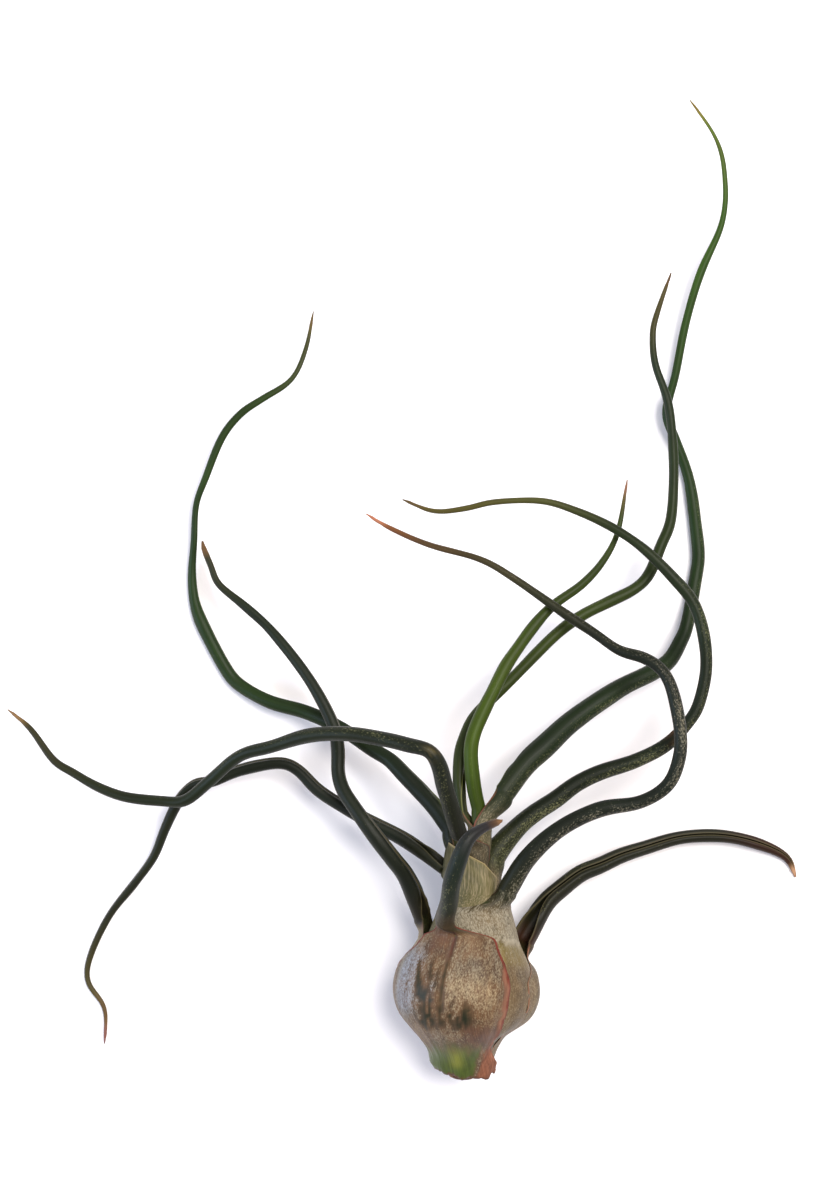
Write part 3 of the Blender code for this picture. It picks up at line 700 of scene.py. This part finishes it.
grow(
    name="leaf_01_front", slot="outer_leaf", depth=0, azimuth=-27, start=0, leave=29.5,
    base_shift=(-0.3, 2, 0),
    margins=(
        ((0, 66), (20, 66), (24.5, 54), (27, 42), (31, 28)),
        (
            (0, 112), (2.6, 101), (6.2, 75), (9.8, 66), (14, 63.5), (17.9, 64.5), (21.2, 67), (24.3, 65),
            (27.2, 62), (29.7, 57), (31.6, 44), (33.5, 28),
        ),
    ),
    narrowing=(0, 0.6, 0.4), rolling=0.15, settle=((0, 1), (1.35, 6)), settle_from=3, ragged=1,
    torn_rim=1.1, tip_length=2.6, margin_look=((122, 48, 34), 0.42, 1.7), husk=(112, 84, 58),
    blotch=(82, 64, 48), blade_cover=0.22, change=(0.15, 0.5),
    colours=(
        (0, (44, 42, 30)), (0.2, (24, 30, 24)), (0.6, (20, 30, 34)), (0.86, (36, 34, 52)),
        (0.96, (96, 68, 56)), (1, (140, 100, 64)),
    ),
    tip_colour=(150, 112, 74), groove=(96, 78, 52), relief=front_relief, marks=front_marks,
    route=(
        (9, -69, 26.5, 2), (9.5, -63.5, 32, 1.8), (10, -58.5, 36, 1.8), (11.5, -53.5, 38, 1.7),
        (13, -50, 38.5, 1.4), (15.5, -48, 37.5, 1), (18, -47, 36, 0.8), (20, -46.5, 34, 0.6),
    ),
)
grow(
    name="leaf_02_right_low", slot="outer_leaf", depth=0.55, azimuth=129, start=1, leave=20, twist=35,
    margins=(((0, 63),), ((0, 63),)), narrowing=(0.05, 0.05, 0.5), settle=((1, 5), (0, 1)), ragged=0.8,
    torn_rim=1, tip_length=4, margin_look=((170, 120, 96), 0.35, 0.9), husk=(112, 92, 68),
    blotch=(88, 76, 54), sheath_cover=0.6, blade_cover=0.3, change=(0.15, 0.5),
    colours=(
        (0, (50, 28, 24)), (0.06, (28, 27, 21)), (0.3, (26, 29, 21)), (0.7, (26, 26, 19)),
        (0.82, (44, 24, 20)), (0.95, (54, 28, 24)), (1, (180, 142, 112)),
    ),
    tip_colour=(196, 156, 124), groove=(120, 112, 78),
    route=(
        (25, -72.5, 11, 2.6), (27.5, -68.5, 10.5, 2.3), (30, -65, 9.5, 2), (33, -62.5, 8.5, 1.9),
        (37, -59.5, 7.5, 1.8), (41, -58, 6.5, 1.7), (45.5, -56, 5.5, 1.6), (50.5, -54.5, 4.5, 1.5),
        (57.5, -52.5, 3.8, 1.4), (64, -52, 3.2, 1.4), (69.5, -52.5, 2.8, 1.3), (75, -54, 2.2, 1.2),
        (79.5, -56, 1.4, 0.9), (81.5, -58, 0.9, 0.7), (82.5, -61, 0.5, 0.5),
    ),
)
grow(
    name="leaf_03_left_outer", slot="outer_leaf", depth=1.1, azimuth=-110, start=2, leave=25.5, twist=35,
    closing=7, margins=(((0, 75),), ((0, 75),)), settle=((0, 1), (0.9, 5)), ragged=0.8, torn_rim=1,
    tip_length=5, margin_look=((80, 34, 34), 0.6, 0), husk=(120, 100, 78), blotch=(92, 78, 60),
    sheath_cover=0.66, blade_cover=0.22, change=(0.15, 0.5),
    colours=(
        (0, (34, 30, 26)), (0.08, (18, 23, 18)), (0.5, (20, 28, 20)), (0.8, (22, 32, 22)),
        (0.96, (42, 44, 28)), (1, (120, 92, 60)),
    ),
    tip_colour=(126, 96, 62), groove=(128, 116, 80), marks=bleached_base,
    route=(
        (4.5, -67.5, 13, 2.3), (1, -59.5, 15.5, 1.9), (-1.5, -56, 17, 1.8), (-4.5, -52, 18, 1.8),
        (-7.5, -48, 18, 1.7), (-10, -44.5, 17, 1.6), (-12, -41.5, 16, 1.6), (-13, -38, 15, 1.5),
        (-13, -33.5, 14.5, 1.5), (-14, -28.5, 14, 1.4), (-17.5, -21.5, 13, 1.3), (-22, -15, 11.5, 1.2),
        (-27.5, -8.5, 10, 1.1), (-32.5, -4, 9, 1), (-38, 0.5, 8, 0.8), (-39.5, 4, 7.5, 0.7),
        (-41, 7.5, 7, 0.7), (-41.5, 9.5, 6.5, 0.6),
    ),
)
grow(
    name="leaf_04_right_hook", depth=1.65, azimuth=60, start=3, leave=32, twist=-30, twist_span=(0, 14),
    closing=7, margins=(((0, 113), (34.5, 113), (36.4, 86), (38, 62), (39.3, 40)), ((0, 113),)),
    narrowing=(0.55, 0, 0.45), rolling=0.35, settle=((0.9, 5), (0, 1)), ragged=0.5, tip_length=7,
    margin_look=((60, 34, 28), 0.5, 0), husk=(112, 96, 68), blotch=(82, 72, 50), sheath_cover=0.66,
    blade_cover=0.24,
    colours=(
        (0, (34, 36, 28)), (0.05, (20, 26, 22)), (0.3, (16, 24, 22)), (0.55, (18, 24, 18)),
        (0.7, (36, 38, 26)), (0.8, (56, 50, 36)), (0.9, (78, 58, 46)), (0.96, (120, 74, 56)),
        (1, (180, 118, 90)),
    ),
    tip_colour=(186, 124, 94), groove=(104, 100, 72), marks=hook_marks,
    route=(
        (21.5, -61.5, 20.5, 2.1), (25.5, -55, 22, 1.9), (32, -49, 23, 1.7), (40, -45, 24, 1.6),
        (48, -43.5, 25, 1.4), (53.5, -40, 26, 1.4), (55.8, -34.5, 26, 1.4), (56, -29, 26, 1.3),
        (54.5, -21, 25, 1.3), (52.5, -17, 24.5, 1.2), (49, -14.5, 23.5, 1.2), (44, -13, 22, 1.1),
        (39, -9.5, 20.5, 1), (33, -5.5, 19.5, 1), (23, 1.5, 18, 0.8), (16, 5.5, 17, 0.7),
        (5.5, 8.5, 15, 0.6), (-2.5, 12, 13, 0.5), (-7.5, 15, 12, 0.3),
    ),
)
grow(
    name="leaf_05_left_low", depth=2.7, azimuth=-110, start=5, leave=38.4, mouth=7.5,
    margins=(((0, 92),), ((0, 162), (38.5, 162))), settle=((0, 1), (0.8, 4)),
    margin_look=((196, 176, 128), 0.3, 0), husk=(100, 94, 58), blotch=(78, 76, 50),
    colours=(
        (0, (34, 36, 26)), (0.08, (18, 24, 20)), (0.4, (20, 27, 20)), (0.6, (26, 31, 22)),
        (0.78, (34, 36, 26)), (0.9, (66, 60, 42)), (1, (132, 98, 84)),
    ),
    tip_colour=(154, 108, 100), groove=(110, 104, 76),
    route=(
        (9, -57.5, 14.8, 1.8), (4.5, -54.5, 13.8, 1.7), (-0.5, -51.5, 12.5, 1.6), (-6.5, -48.5, 11.5, 1.5),
        (-12, -45.5, 10.5, 1.4), (-17.5, -42, 9.5, 1.4), (-21.5, -38, 9, 1.3), (-25.5, -36.5, 8.8, 1.3),
        (-33.5, -38, 8, 1.3), (-39.5, -40.5, 8, 1.2), (-43, -41, 7, 1.2), (-46.5, -44.5, 6, 1.2),
        (-49.5, -50.5, 4.5, 1.1), (-52, -56.5, 3, 1), (-56, -62, 1.8, 0.9), (-61.5, -69, 0.9, 0.8),
        (-65.5, -77.5, 0.7, 0.7), (-66, -83, 0.6, 0.6), (-62.5, -88.5, 0.6, 0.5), (-62.5, -96, 0.4, 0.3),
    ),
)
grow(
    name="leaf_06_right_hook_wide", depth=3.7, azimuth=88, start=6.3, leave=38.5, twist=-45,
    twist_span=(0, 12), closing=6, base_shift=(-1.7, 0.6, 0), flare=0.25,
    margins=(((0, 120),), ((0, 110),)), narrowing=(0.5, 0, 0.5), margin_look=((120, 96, 72), 0.25, 0),
    husk=(104, 92, 64), blotch=(78, 74, 52), blade_cover=0.3,
    colours=(
        (0, (38, 42, 30)), (0.06, (20, 27, 20)), (0.3, (18, 27, 17)), (0.5, (22, 34, 18)),
        (0.68, (32, 42, 22)), (0.82, (70, 70, 42)), (0.95, (84, 76, 46)), (1, (100, 76, 46)),
    ),
    tip_colour=(104, 88, 54), groove=(112, 108, 72), marks=scarred_hook,
    route=(
        (20.5, -55.5, 16.6, 2.1), (24, -49.5, 16.2, 1.9), (27, -46.5, 16.2, 1.9), (31.5, -43.5, 16.2, 1.8),
        (35.5, -40.5, 16.3, 1.7), (40.5, -38, 16.5, 1.6), (47.5, -35.7, 17, 1.5), (54, -32.3, 17.5, 1.4),
        (58.5, -27.5, 18, 1.3), (60.5, -24, 18, 1.3), (62, -17, 18, 1.3), (61.5, -10, 18, 1.3),
        (59.5, -3.5, 18, 1.2), (55.5, 1.5, 18, 1.2), (49.5, 7.5, 17.5, 1), (43, 12, 16.5, 0.9),
        (35.5, 15.5, 15.5, 0.8), (28.5, 17.5, 15, 0.7), (19, 17.3, 14, 0.6), (13, 16, 13, 0.6),
        (6.5, 15.5, 11.5, 0.5), (0, 18, 9.5, 0.3),
    ),
)
grow(
    name="leaf_07_left_tall", depth=4.7, azimuth=-100, start=7.4, leave=39.5,
    margins=(((0, 90),), ((0, 90),)), margin_look=((120, 96, 72), 0.25, 0), husk=(90, 84, 58),
    blotch=(70, 66, 48), sheath_cover=0.5,
    colours=(
        (0, (22, 30, 24)), (0.1, (18, 28, 18)), (0.3, (26, 44, 18)), (0.6, (30, 52, 20)),
        (0.85, (36, 54, 24)), (0.96, (58, 60, 36)), (1, (112, 100, 64)),
    ),
    tip_colour=(116, 98, 62), groove=(110, 120, 64),
    route=(
        (10, -49, 17, 2.2), (7, -45, 16.2, 2.1), (3.5, -41.5, 15, 1.9), (0.5, -38.5, 14, 1.8),
        (-2.5, -35.5, 12.5, 1.7), (-6, -33.5, 11, 1.7), (-13, -29, 8.8, 1.6), (-20, -26, 6, 1.6),
        (-27.5, -24, 4, 1.6), (-34, -20.5, 2, 1.5), (-37, -17, 1.5, 1.5), (-41.5, -8.5, 1.4, 1.5),
        (-43.5, -3, 1.3, 1.2), (-44, 3, 1.6, 0.9), (-43.5, 9.5, 2.6, 0.8), (-43, 17, 3.5, 0.7),
        (-41, 22.5, 4.2, 0.8), (-37.5, 31, 5, 0.9), (-33.5, 36, 5.6, 0.9), (-29, 39, 6, 0.8),
        (-23, 43, 6, 0.6), (-20, 49.5, 5.5, 0.5), (-18.5, 57.5, 4.5, 0.3),
    ),
)
grow(
    name="leaf_08_right_tall", depth=6.7, azimuth=70, start=9.3, leave=50.5,
    margins=(((0, 95),), ((0, 95),)), margin_look=((134, 84, 66), 0.35, 0), husk=(92, 88, 62),
    blotch=(70, 70, 50), sheath_cover=0.6, blade_cover=0.26, change=(0.05, 0.8),
    colours=(
        (0, (30, 38, 26)), (0.08, (20, 34, 18)), (0.3, (22, 38, 18)), (0.6, (30, 54, 20)),
        (0.85, (52, 82, 28)), (0.96, (80, 96, 40)), (1, (130, 120, 62)),
    ),
    tip_colour=(138, 124, 62), groove=(120, 128, 66), marks=dry_nick,
    route=(
        (20.5, -42, 18.4, 2.6), (25, -36.5, 16.6, 2.4), (29.5, -32.5, 15, 2.4), (34.5, -28, 13, 2.2),
        (41, -23.5, 11, 2.1), (46, -20.5, 9, 1.9), (51.5, -18, 7, 1.8), (55.5, -15.5, 5.2, 1.7),
        (58, -11.5, 3.6, 1.6), (59.5, -8, 2.6, 1.5), (61.5, 2.5, 1.6, 1.4), (62, 6.5, 1.5, 1.4),
        (61.5, 12, 1.4, 1.4), (60, 22.5, 1.5, 1.2), (57, 31, 2.1, 1.1), (55.2, 36.5, 2.4, 1),
        (57, 44, 3, 0.9), (59, 54.5, 4, 0.9), (62, 65, 5, 0.9), (66, 74, 5.2, 0.7), (67.2, 79.5, 5.3, 0.6),
        (67.2, 84.5, 5.2, 0.6), (66.5, 90, 5, 0.5), (64.5, 95, 4.5, 0.4), (60, 101.5, 4, 0.3),
    ),
)
grow(
    name="leaf_09_left_arch", depth=5.7, azimuth=-30, start=8.4, leave=46.8, twist=80,
    base_shift=(0.5, -2.5, 0), margins=(((0, 90),), ((0, 90),)), margin_look=((110, 60, 50), 0.3, 0),
    husk=(86, 76, 56), blotch=(66, 62, 46), sheath_cover=0.5,
    colours=(
        (0, (26, 28, 22)), (0.1, (18, 24, 20)), (0.3, (24, 30, 21)), (0.55, (21, 31, 20)),
        (0.8, (28, 33, 21)), (0.95, (46, 44, 28)), (1, (140, 110, 76)),
    ),
    tip_colour=(150, 120, 82), groove=(132, 118, 80), marks=kinked,
    route=(
        (10.9, -46.6, 26.2, 1.8), (10, -44, 28.8, 1.7), (8.5, -39.5, 32.5, 1.7), (7.5, -35.5, 35.5, 1.6),
        (5.5, -32.5, 36.5, 1.4), (1.5, -31.5, 35.5, 1.5), (-3, -30.5, 33.5, 1.5), (-10.5, -29.5, 30.5, 1.5),
        (-18.5, -30, 26.5, 1.5), (-26.5, -32.5, 22.5, 1.3), (-33, -34.5, 19.5, 1.3),
        (-39.5, -40, 15.5, 1.2), (-44.5, -44, 13.5, 1.2), (-49, -44.2, 12, 1.1), (-57, -43.5, 10, 1.1),
        (-63, -41.5, 8.5, 1), (-68.5, -38.5, 7.2, 0.9), (-72.5, -36, 6.5, 0.8), (-77.5, -29.5, 5.2, 0.6),
        (-82.5, -25.5, 4, 0.3),
    ),
)
grow(
    name="leaf_10_inner_right", slot="inner_leaf", depth=7.7, azimuth=-110, start=10.2, leave=50.2,
    twist=60, margins=(((0, 95),), ((0, 95),)), settle=((0.3, 3), (0.3, 3)), ragged=0.2, torn_rim=0.6,
    tip_length=5, margin_look=((120, 84, 60), 0.25, 0), husk=(96, 86, 56), blotch=(74, 72, 48),
    sheath_cover=0.45, blade_cover=0.14,
    colours=(
        (0, (36, 44, 18)), (0.15, (44, 56, 16)), (0.35, (48, 62, 20)), (0.6, (30, 42, 16)),
        (0.85, (26, 40, 22)), (1, (84, 74, 50)),
    ),
    tip_colour=(110, 88, 60), groove=(156, 160, 90),
    route=(
        (12.5, -45.5, 17.6, 1.4), (11.8, -40.5, 17.2, 1.4), (12, -34.5, 16, 1.4), (13, -31, 15.3, 1.4),
        (14.5, -27.5, 15, 1.4), (17.5, -24, 14.8, 1.3), (23.5, -18, 14.4, 1.2), (31.5, -10, 13, 1.2),
        (37, -6, 12, 1.2), (43, -3, 11.2, 1.2), (48, -0.5, 10.5, 1.2), (51, 2.5, 10.2, 1.2),
        (53.5, 8.5, 9.8, 1.2), (55.5, 13.5, 9.5, 1.1), (56.2, 22, 8.8, 1), (56, 30.5, 8.4, 1),
        (55, 38.5, 8, 0.9), (52.5, 46, 7.5, 0.8), (52, 52, 7.1, 0.7), (52.7, 56, 6.8, 0.6),
        (56, 65.5, 5.5, 0.3),
    ),
)
grow(
    name="leaf_11_centre", slot="inner_leaf", depth=8.7, azimuth=0, start=11, leave=50,
    margins=(((0, 120),), ((0, 120),)), settle=((0, 1), (0, 1)), ragged=0, torn_rim=0.4, tip_length=5,
    margin_look=((120, 96, 62), 0.2, 0), husk=(90, 96, 50), blotch=(72, 82, 44), sheath_cover=0.3,
    blade_cover=0.1,
    colours=(
        (0, (46, 60, 14)), (0.12, (58, 78, 14)), (0.4, (54, 70, 16)), (0.7, (44, 58, 20)),
        (0.9, (48, 60, 30)), (0.97, (96, 80, 56)), (1, (146, 108, 86)),
    ),
    tip_colour=(154, 116, 92), groove=(160, 168, 92),
    route=(
        (15.6, -45, 18.9, 1.5), (14.6, -40.5, 19.8, 1.5), (14, -34, 20.6, 1.5), (14.6, -30, 20.5, 1.5),
        (16.5, -25.5, 20, 1.5), (18.5, -21.5, 19.5, 1.4), (21, -16.5, 18.5, 1.4), (23, -13.5, 18, 1.3),
        (27, -8, 17, 1.2), (31, -3.8, 16, 1), (37, 0.5, 15, 0.9), (41.5, 5.5, 13.5, 0.7),
        (44.5, 11.5, 12, 0.6), (46.5, 22, 10, 0.3),
    ),
)


# ---- materials ----
def new_material(name):
    made = bpy.data.materials.new(name)
    made.use_nodes = True
    return made, made.node_tree.nodes["Principled BSDF"]


def skin_material(name):
    """Leaf skin: dark tissue under a felt of silvery scales, with dry and wet places."""
    made, shader = new_material(name)
    nodes = made.node_tree.nodes
    links = made.node_tree.links

    def attribute(key, output="Fac"):
        node = nodes.new("ShaderNodeAttribute")
        node.attribute_name = key
        return node.outputs[output]

    def maths(operation, first, second, clamp):
        node = nodes.new("ShaderNodeMath")
        node.operation = operation
        node.use_clamp = clamp
        for slot, value in enumerate((first, second)):
            if isinstance(value, float):
                node.inputs[slot].default_value = value
            else:
                links.new(value, node.inputs[slot])
        return node.outputs[0]

    def plus(first, second, clamp=False):
        return maths("ADD", first, second, clamp)

    def minus(first, second, clamp=False):
        return maths("SUBTRACT", first, second, clamp)

    def times(first, second, clamp=False):
        return maths("MULTIPLY", first, second, clamp)

    def blend(first, second, share, mode="MIX"):
        node = nodes.new("ShaderNodeMix")
        node.data_type = "RGBA"
        node.blend_type = mode
        node.clamp_factor = True
        for slot, value in (("A", first), ("B", second)):
            socket = [s for s in node.inputs if s.name == slot and s.type == "RGBA"][0]
            if isinstance(value, tuple):
                socket.default_value = value
            else:
                links.new(value, socket)
        if isinstance(share, float):
            node.inputs["Factor"].default_value = share
        else:
            links.new(share, node.inputs["Factor"])
        return [s for s in node.outputs if s.type == "RGBA"][0]

    def darkened(colour, by):
        return blend(colour, (*by, 1.0), 1.0, "MULTIPLY")

    lay = attribute("lay", "Vector")

    def stretched(x, y, z):
        node = nodes.new("ShaderNodeVectorMath")
        node.operation = "MULTIPLY"
        links.new(lay, node.inputs[0])
        node.inputs[1].default_value = (x, y, z)
        return node.outputs[0]

    def noise(vector, scale, detail, rough):
        node = nodes.new("ShaderNodeTexNoise")
        node.inputs["Scale"].default_value = scale
        node.inputs["Detail"].default_value = detail
        node.inputs["Roughness"].default_value = rough
        links.new(vector, node.inputs["Vector"])
        return node.outputs["Fac"]

    flecks = noise(stretched(0.75, 1.3, 1.0), 3.5, 3.0, 0.7)
    patches = noise(stretched(0.45, 1.1, 1.0), 0.9, 3.0, 0.6)
    threads = noise(stretched(0.08, 2.6, 1.0), 1.6, 2.0, 0.5)
    cells = nodes.new("ShaderNodeTexVoronoi")
    cells.feature = "F1"
    cells.inputs["Scale"].default_value = 2.7
    links.new(stretched(0.8, 1.2, 1.0), cells.inputs["Vector"])
    dot = minus(1.0, times(cells.outputs["Distance"], 1.35), clamp=True)

    cover = attribute("cover")
    dry = attribute("dry")
    wet = attribute("wet")
    field = plus(times(flecks, 0.66), times(patches, 0.19))
    field = plus(field, times(dot, 0.15))
    above = minus(field, minus(0.80, times(cover, 0.62)))
    scaled = times(above, 4.4, clamp=True)
    scaled = times(scaled, plus(0.35, times(cover, 0.75)), clamp=True)

    tissue = attribute("tissue", "Color")
    grainy = blend(tissue, darkened(tissue, (0.30, 0.27, 0.24)), times(threads, 0.9))
    tint = attribute("scale_tint", "Color")
    tint = blend(tint, darkened(tint, (0.62, 0.58, 0.52)), patches)
    husk = blend(grainy, darkened(grainy, (0.66, 0.56, 0.50)), times(dry, flecks))
    links.new(blend(husk, tint, scaled), shader.inputs["Base Color"])

    rough = plus(0.47, times(scaled, 0.20))
    rough = plus(rough, times(dry, 0.30))
    rough = minus(rough, times(wet, 0.16))
    rough = plus(rough, times(minus(flecks, 0.5), 0.14), clamp=True)
    links.new(rough, shader.inputs["Roughness"])
    shader.inputs["Specular IOR Level"].default_value = 0.16
    shader.inputs["Sheen Weight"].default_value = 0.03
    shader.inputs["Sheen Roughness"].default_value = 0.45

    height = plus(plus(times(scaled, 0.8), times(threads, 0.7)), times(flecks, 0.5))
    bump = nodes.new("ShaderNodeBump")
    bump.inputs["Strength"].default_value = 0.45
    bump.inputs["Distance"].default_value = 0.00012
    links.new(height, bump.inputs["Height"])
    links.new(bump.outputs["Normal"], shader.inputs["Normal"])
    return made


def new_object(name, data):
    made = bpy.data.objects.new(name, data)
    bpy.context.scene.collection.objects.link(made)
    return made


def add_piece(name, verts, faces, paint, material):
    """An object of the skin's vertices, in millimetres, with what its material reads as attributes."""
    mesh = bpy.data.meshes.new(name)
    mesh.from_pydata((verts * MM).tolist(), [], faces)
    for key, attribute in (("tissue", "tissue"), ("tint", "scale_tint")):
        rgba = np.concatenate((paint[key].reshape(-1, 3), np.ones((len(verts), 1))), axis=1)
        mesh.attributes.new(attribute, "FLOAT_COLOR", "POINT").data.foreach_set("color", rgba.ravel())
    for key in ("cover", "dry", "wet"):
        mesh.attributes.new(key, "FLOAT", "POINT").data.foreach_set("value", paint[key].ravel())
    mesh.attributes.new("lay", "FLOAT_VECTOR", "POINT").data.foreach_set("vector", paint["lay"].ravel())
    mesh.polygons.foreach_set("use_smooth", [True] * len(mesh.polygons))
    mesh.materials.append(material)
    mesh.update()
    return new_object(name, mesh)


# ---- the stem ----
def stem_skin():
    """Short blunt stem: a ringed, fibrous stub with a scarred lower end."""
    # distance along the bulb's axis, share of the stem's radius
    profile = np.array((
        (-1.6, 0.02), (-1.58, 0.35), (-1.3, 0.70), (-0.7, 0.88), (0.0, 0.95), (2.0, 1.0),
        (5.0, 1.0), (7.5, 0.92), (9.5, 0.68), (10.6, 0.45), (11.1, 0.10),
    ))
    sides = 72
    rings = 64
    level = np.linspace(0.0, 1.0, rings)
    where = np.linspace(0.0, 1.0, len(profile))
    along = np.interp(level, where, profile[:, 0])
    radius = np.interp(level, where, profile[:, 1]) * STEM_RADIUS
    azimuth = np.arange(sides) * 360.0 / sides
    u, turn = np.meshgrid(along, azimuth, indexing="ij")
    size = radius[:, None] * (1.0 + 0.05 * grain(turn / 18.0, u / 6.0, 91))
    size = size * (1.0 - 0.05 * np.abs(np.sin(u * 2.6 + 0.3 * grain(turn / 60.0, u, 93))))
    size = np.minimum(size, STEM_RADIUS)
    verts = axis_point(u) + facing(turn) * size[..., None]
    faces = tube_faces(rings, sides)
    faces.append(tuple(reversed(range(sides))))
    faces.append(tuple((rings - 1) * sides + k for k in range(sides)))
    rough = layered(turn / 12.0, u / 1.1, 95)
    paint = {
        "tissue": mix(linear(BARK), linear((150, 112, 74)), smooth(0.45 + 0.7 * rough)),
        "tint": np.broadcast_to(SCALE_WARM, verts.shape),
        "cover": np.full(u.size, 0.05),
        "dry": np.full(u.size, 0.8),
        "wet": np.zeros(u.size),
        "lay": np.stack((u, np.radians(turn) * STEM_RADIUS, np.full_like(u, 91.0)), axis=-1),
    }
    return verts.reshape(-1, 3), faces, paint


# ---- the pieces ----
materials = {
    "stem_wood": skin_material("stem_bark"),
    "outer_leaf": skin_material("outer_leaf_skin"),
    "middle_leaf": skin_material("middle_leaf_skin"),
    "inner_leaf": skin_material("inner_leaf_skin"),
}
stem = add_piece("stem_detail", *stem_skin(), materials["stem_wood"])
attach(stem, "root")
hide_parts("stem")
for leaf in LEAVES:
    piece = add_piece("skin_" + leaf["name"], *leaf_skin(leaf), materials[leaf["slot"]])
    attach(piece, "root")
    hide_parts(leaf["name"])

# ---- the surface it lies on ----
REACH = 15.0  # metres, so that its end stays out of low views
corners = [(-REACH, -REACH, 0.0), (REACH, -REACH, 0.0), (REACH, REACH, 0.0), (-REACH, REACH, 0.0)]
floor_mesh = bpy.data.meshes.new("floor")
floor_mesh.from_pydata(corners, [], [(0, 1, 2, 3)])
floor_skin, floor_shader = new_material("pale_floor")
floor_shader.inputs["Base Color"].default_value = (0.86, 0.85, 0.86, 1.0)
floor_shader.inputs["Roughness"].default_value = 0.85
floor_mesh.materials.append(floor_skin)
floor = new_object("floor", floor_mesh)


# ---- light and camera ----
def soft_light(name, place, target, size, power, colour):
    data = bpy.data.lights.new(name, "AREA")
    data.shape = "DISK"
    data.size = size
    data.energy = power
    data.color = colour
    lamp = new_object(name, data)
    lamp.location = place
    aim = np.array(target) - np.array(place)
    lamp.rotation_mode = "QUATERNION"
    lamp.rotation_quaternion = Vector(aim).to_track_quat("-Z", "Y")


middle = tuple((low + high) / 2.0 for low, high in zip(CAD_BOX[0], CAD_BOX[1]))
soft_light("key", (0.42, 0.30, 1.30), middle, 0.75, 26.0, (1.0, 0.955, 0.90))
soft_light("window", (-1.0, -0.15, 0.50), middle, 0.5, 8.0, (0.58, 0.74, 1.0))
world = bpy.data.worlds.new("studio")
world.use_nodes = True
sky = world.node_tree.nodes["Background"]
sky.inputs["Color"].default_value = (1.0, 0.94, 0.98, 1.0)
sky.inputs["Strength"].default_value = 0.66
bpy.context.scene.world = world
bpy.context.scene.view_settings.view_transform = "Standard"

camera_data = bpy.data.cameras.new("camera")
camera_data.sensor_width = 36.0
camera_data.lens = 85.7
camera_data.clip_start = 0.01
camera = new_object("camera", camera_data)
camera.location = (0.0037, -0.0028, 0.600)
bpy.context.scene.camera = camera
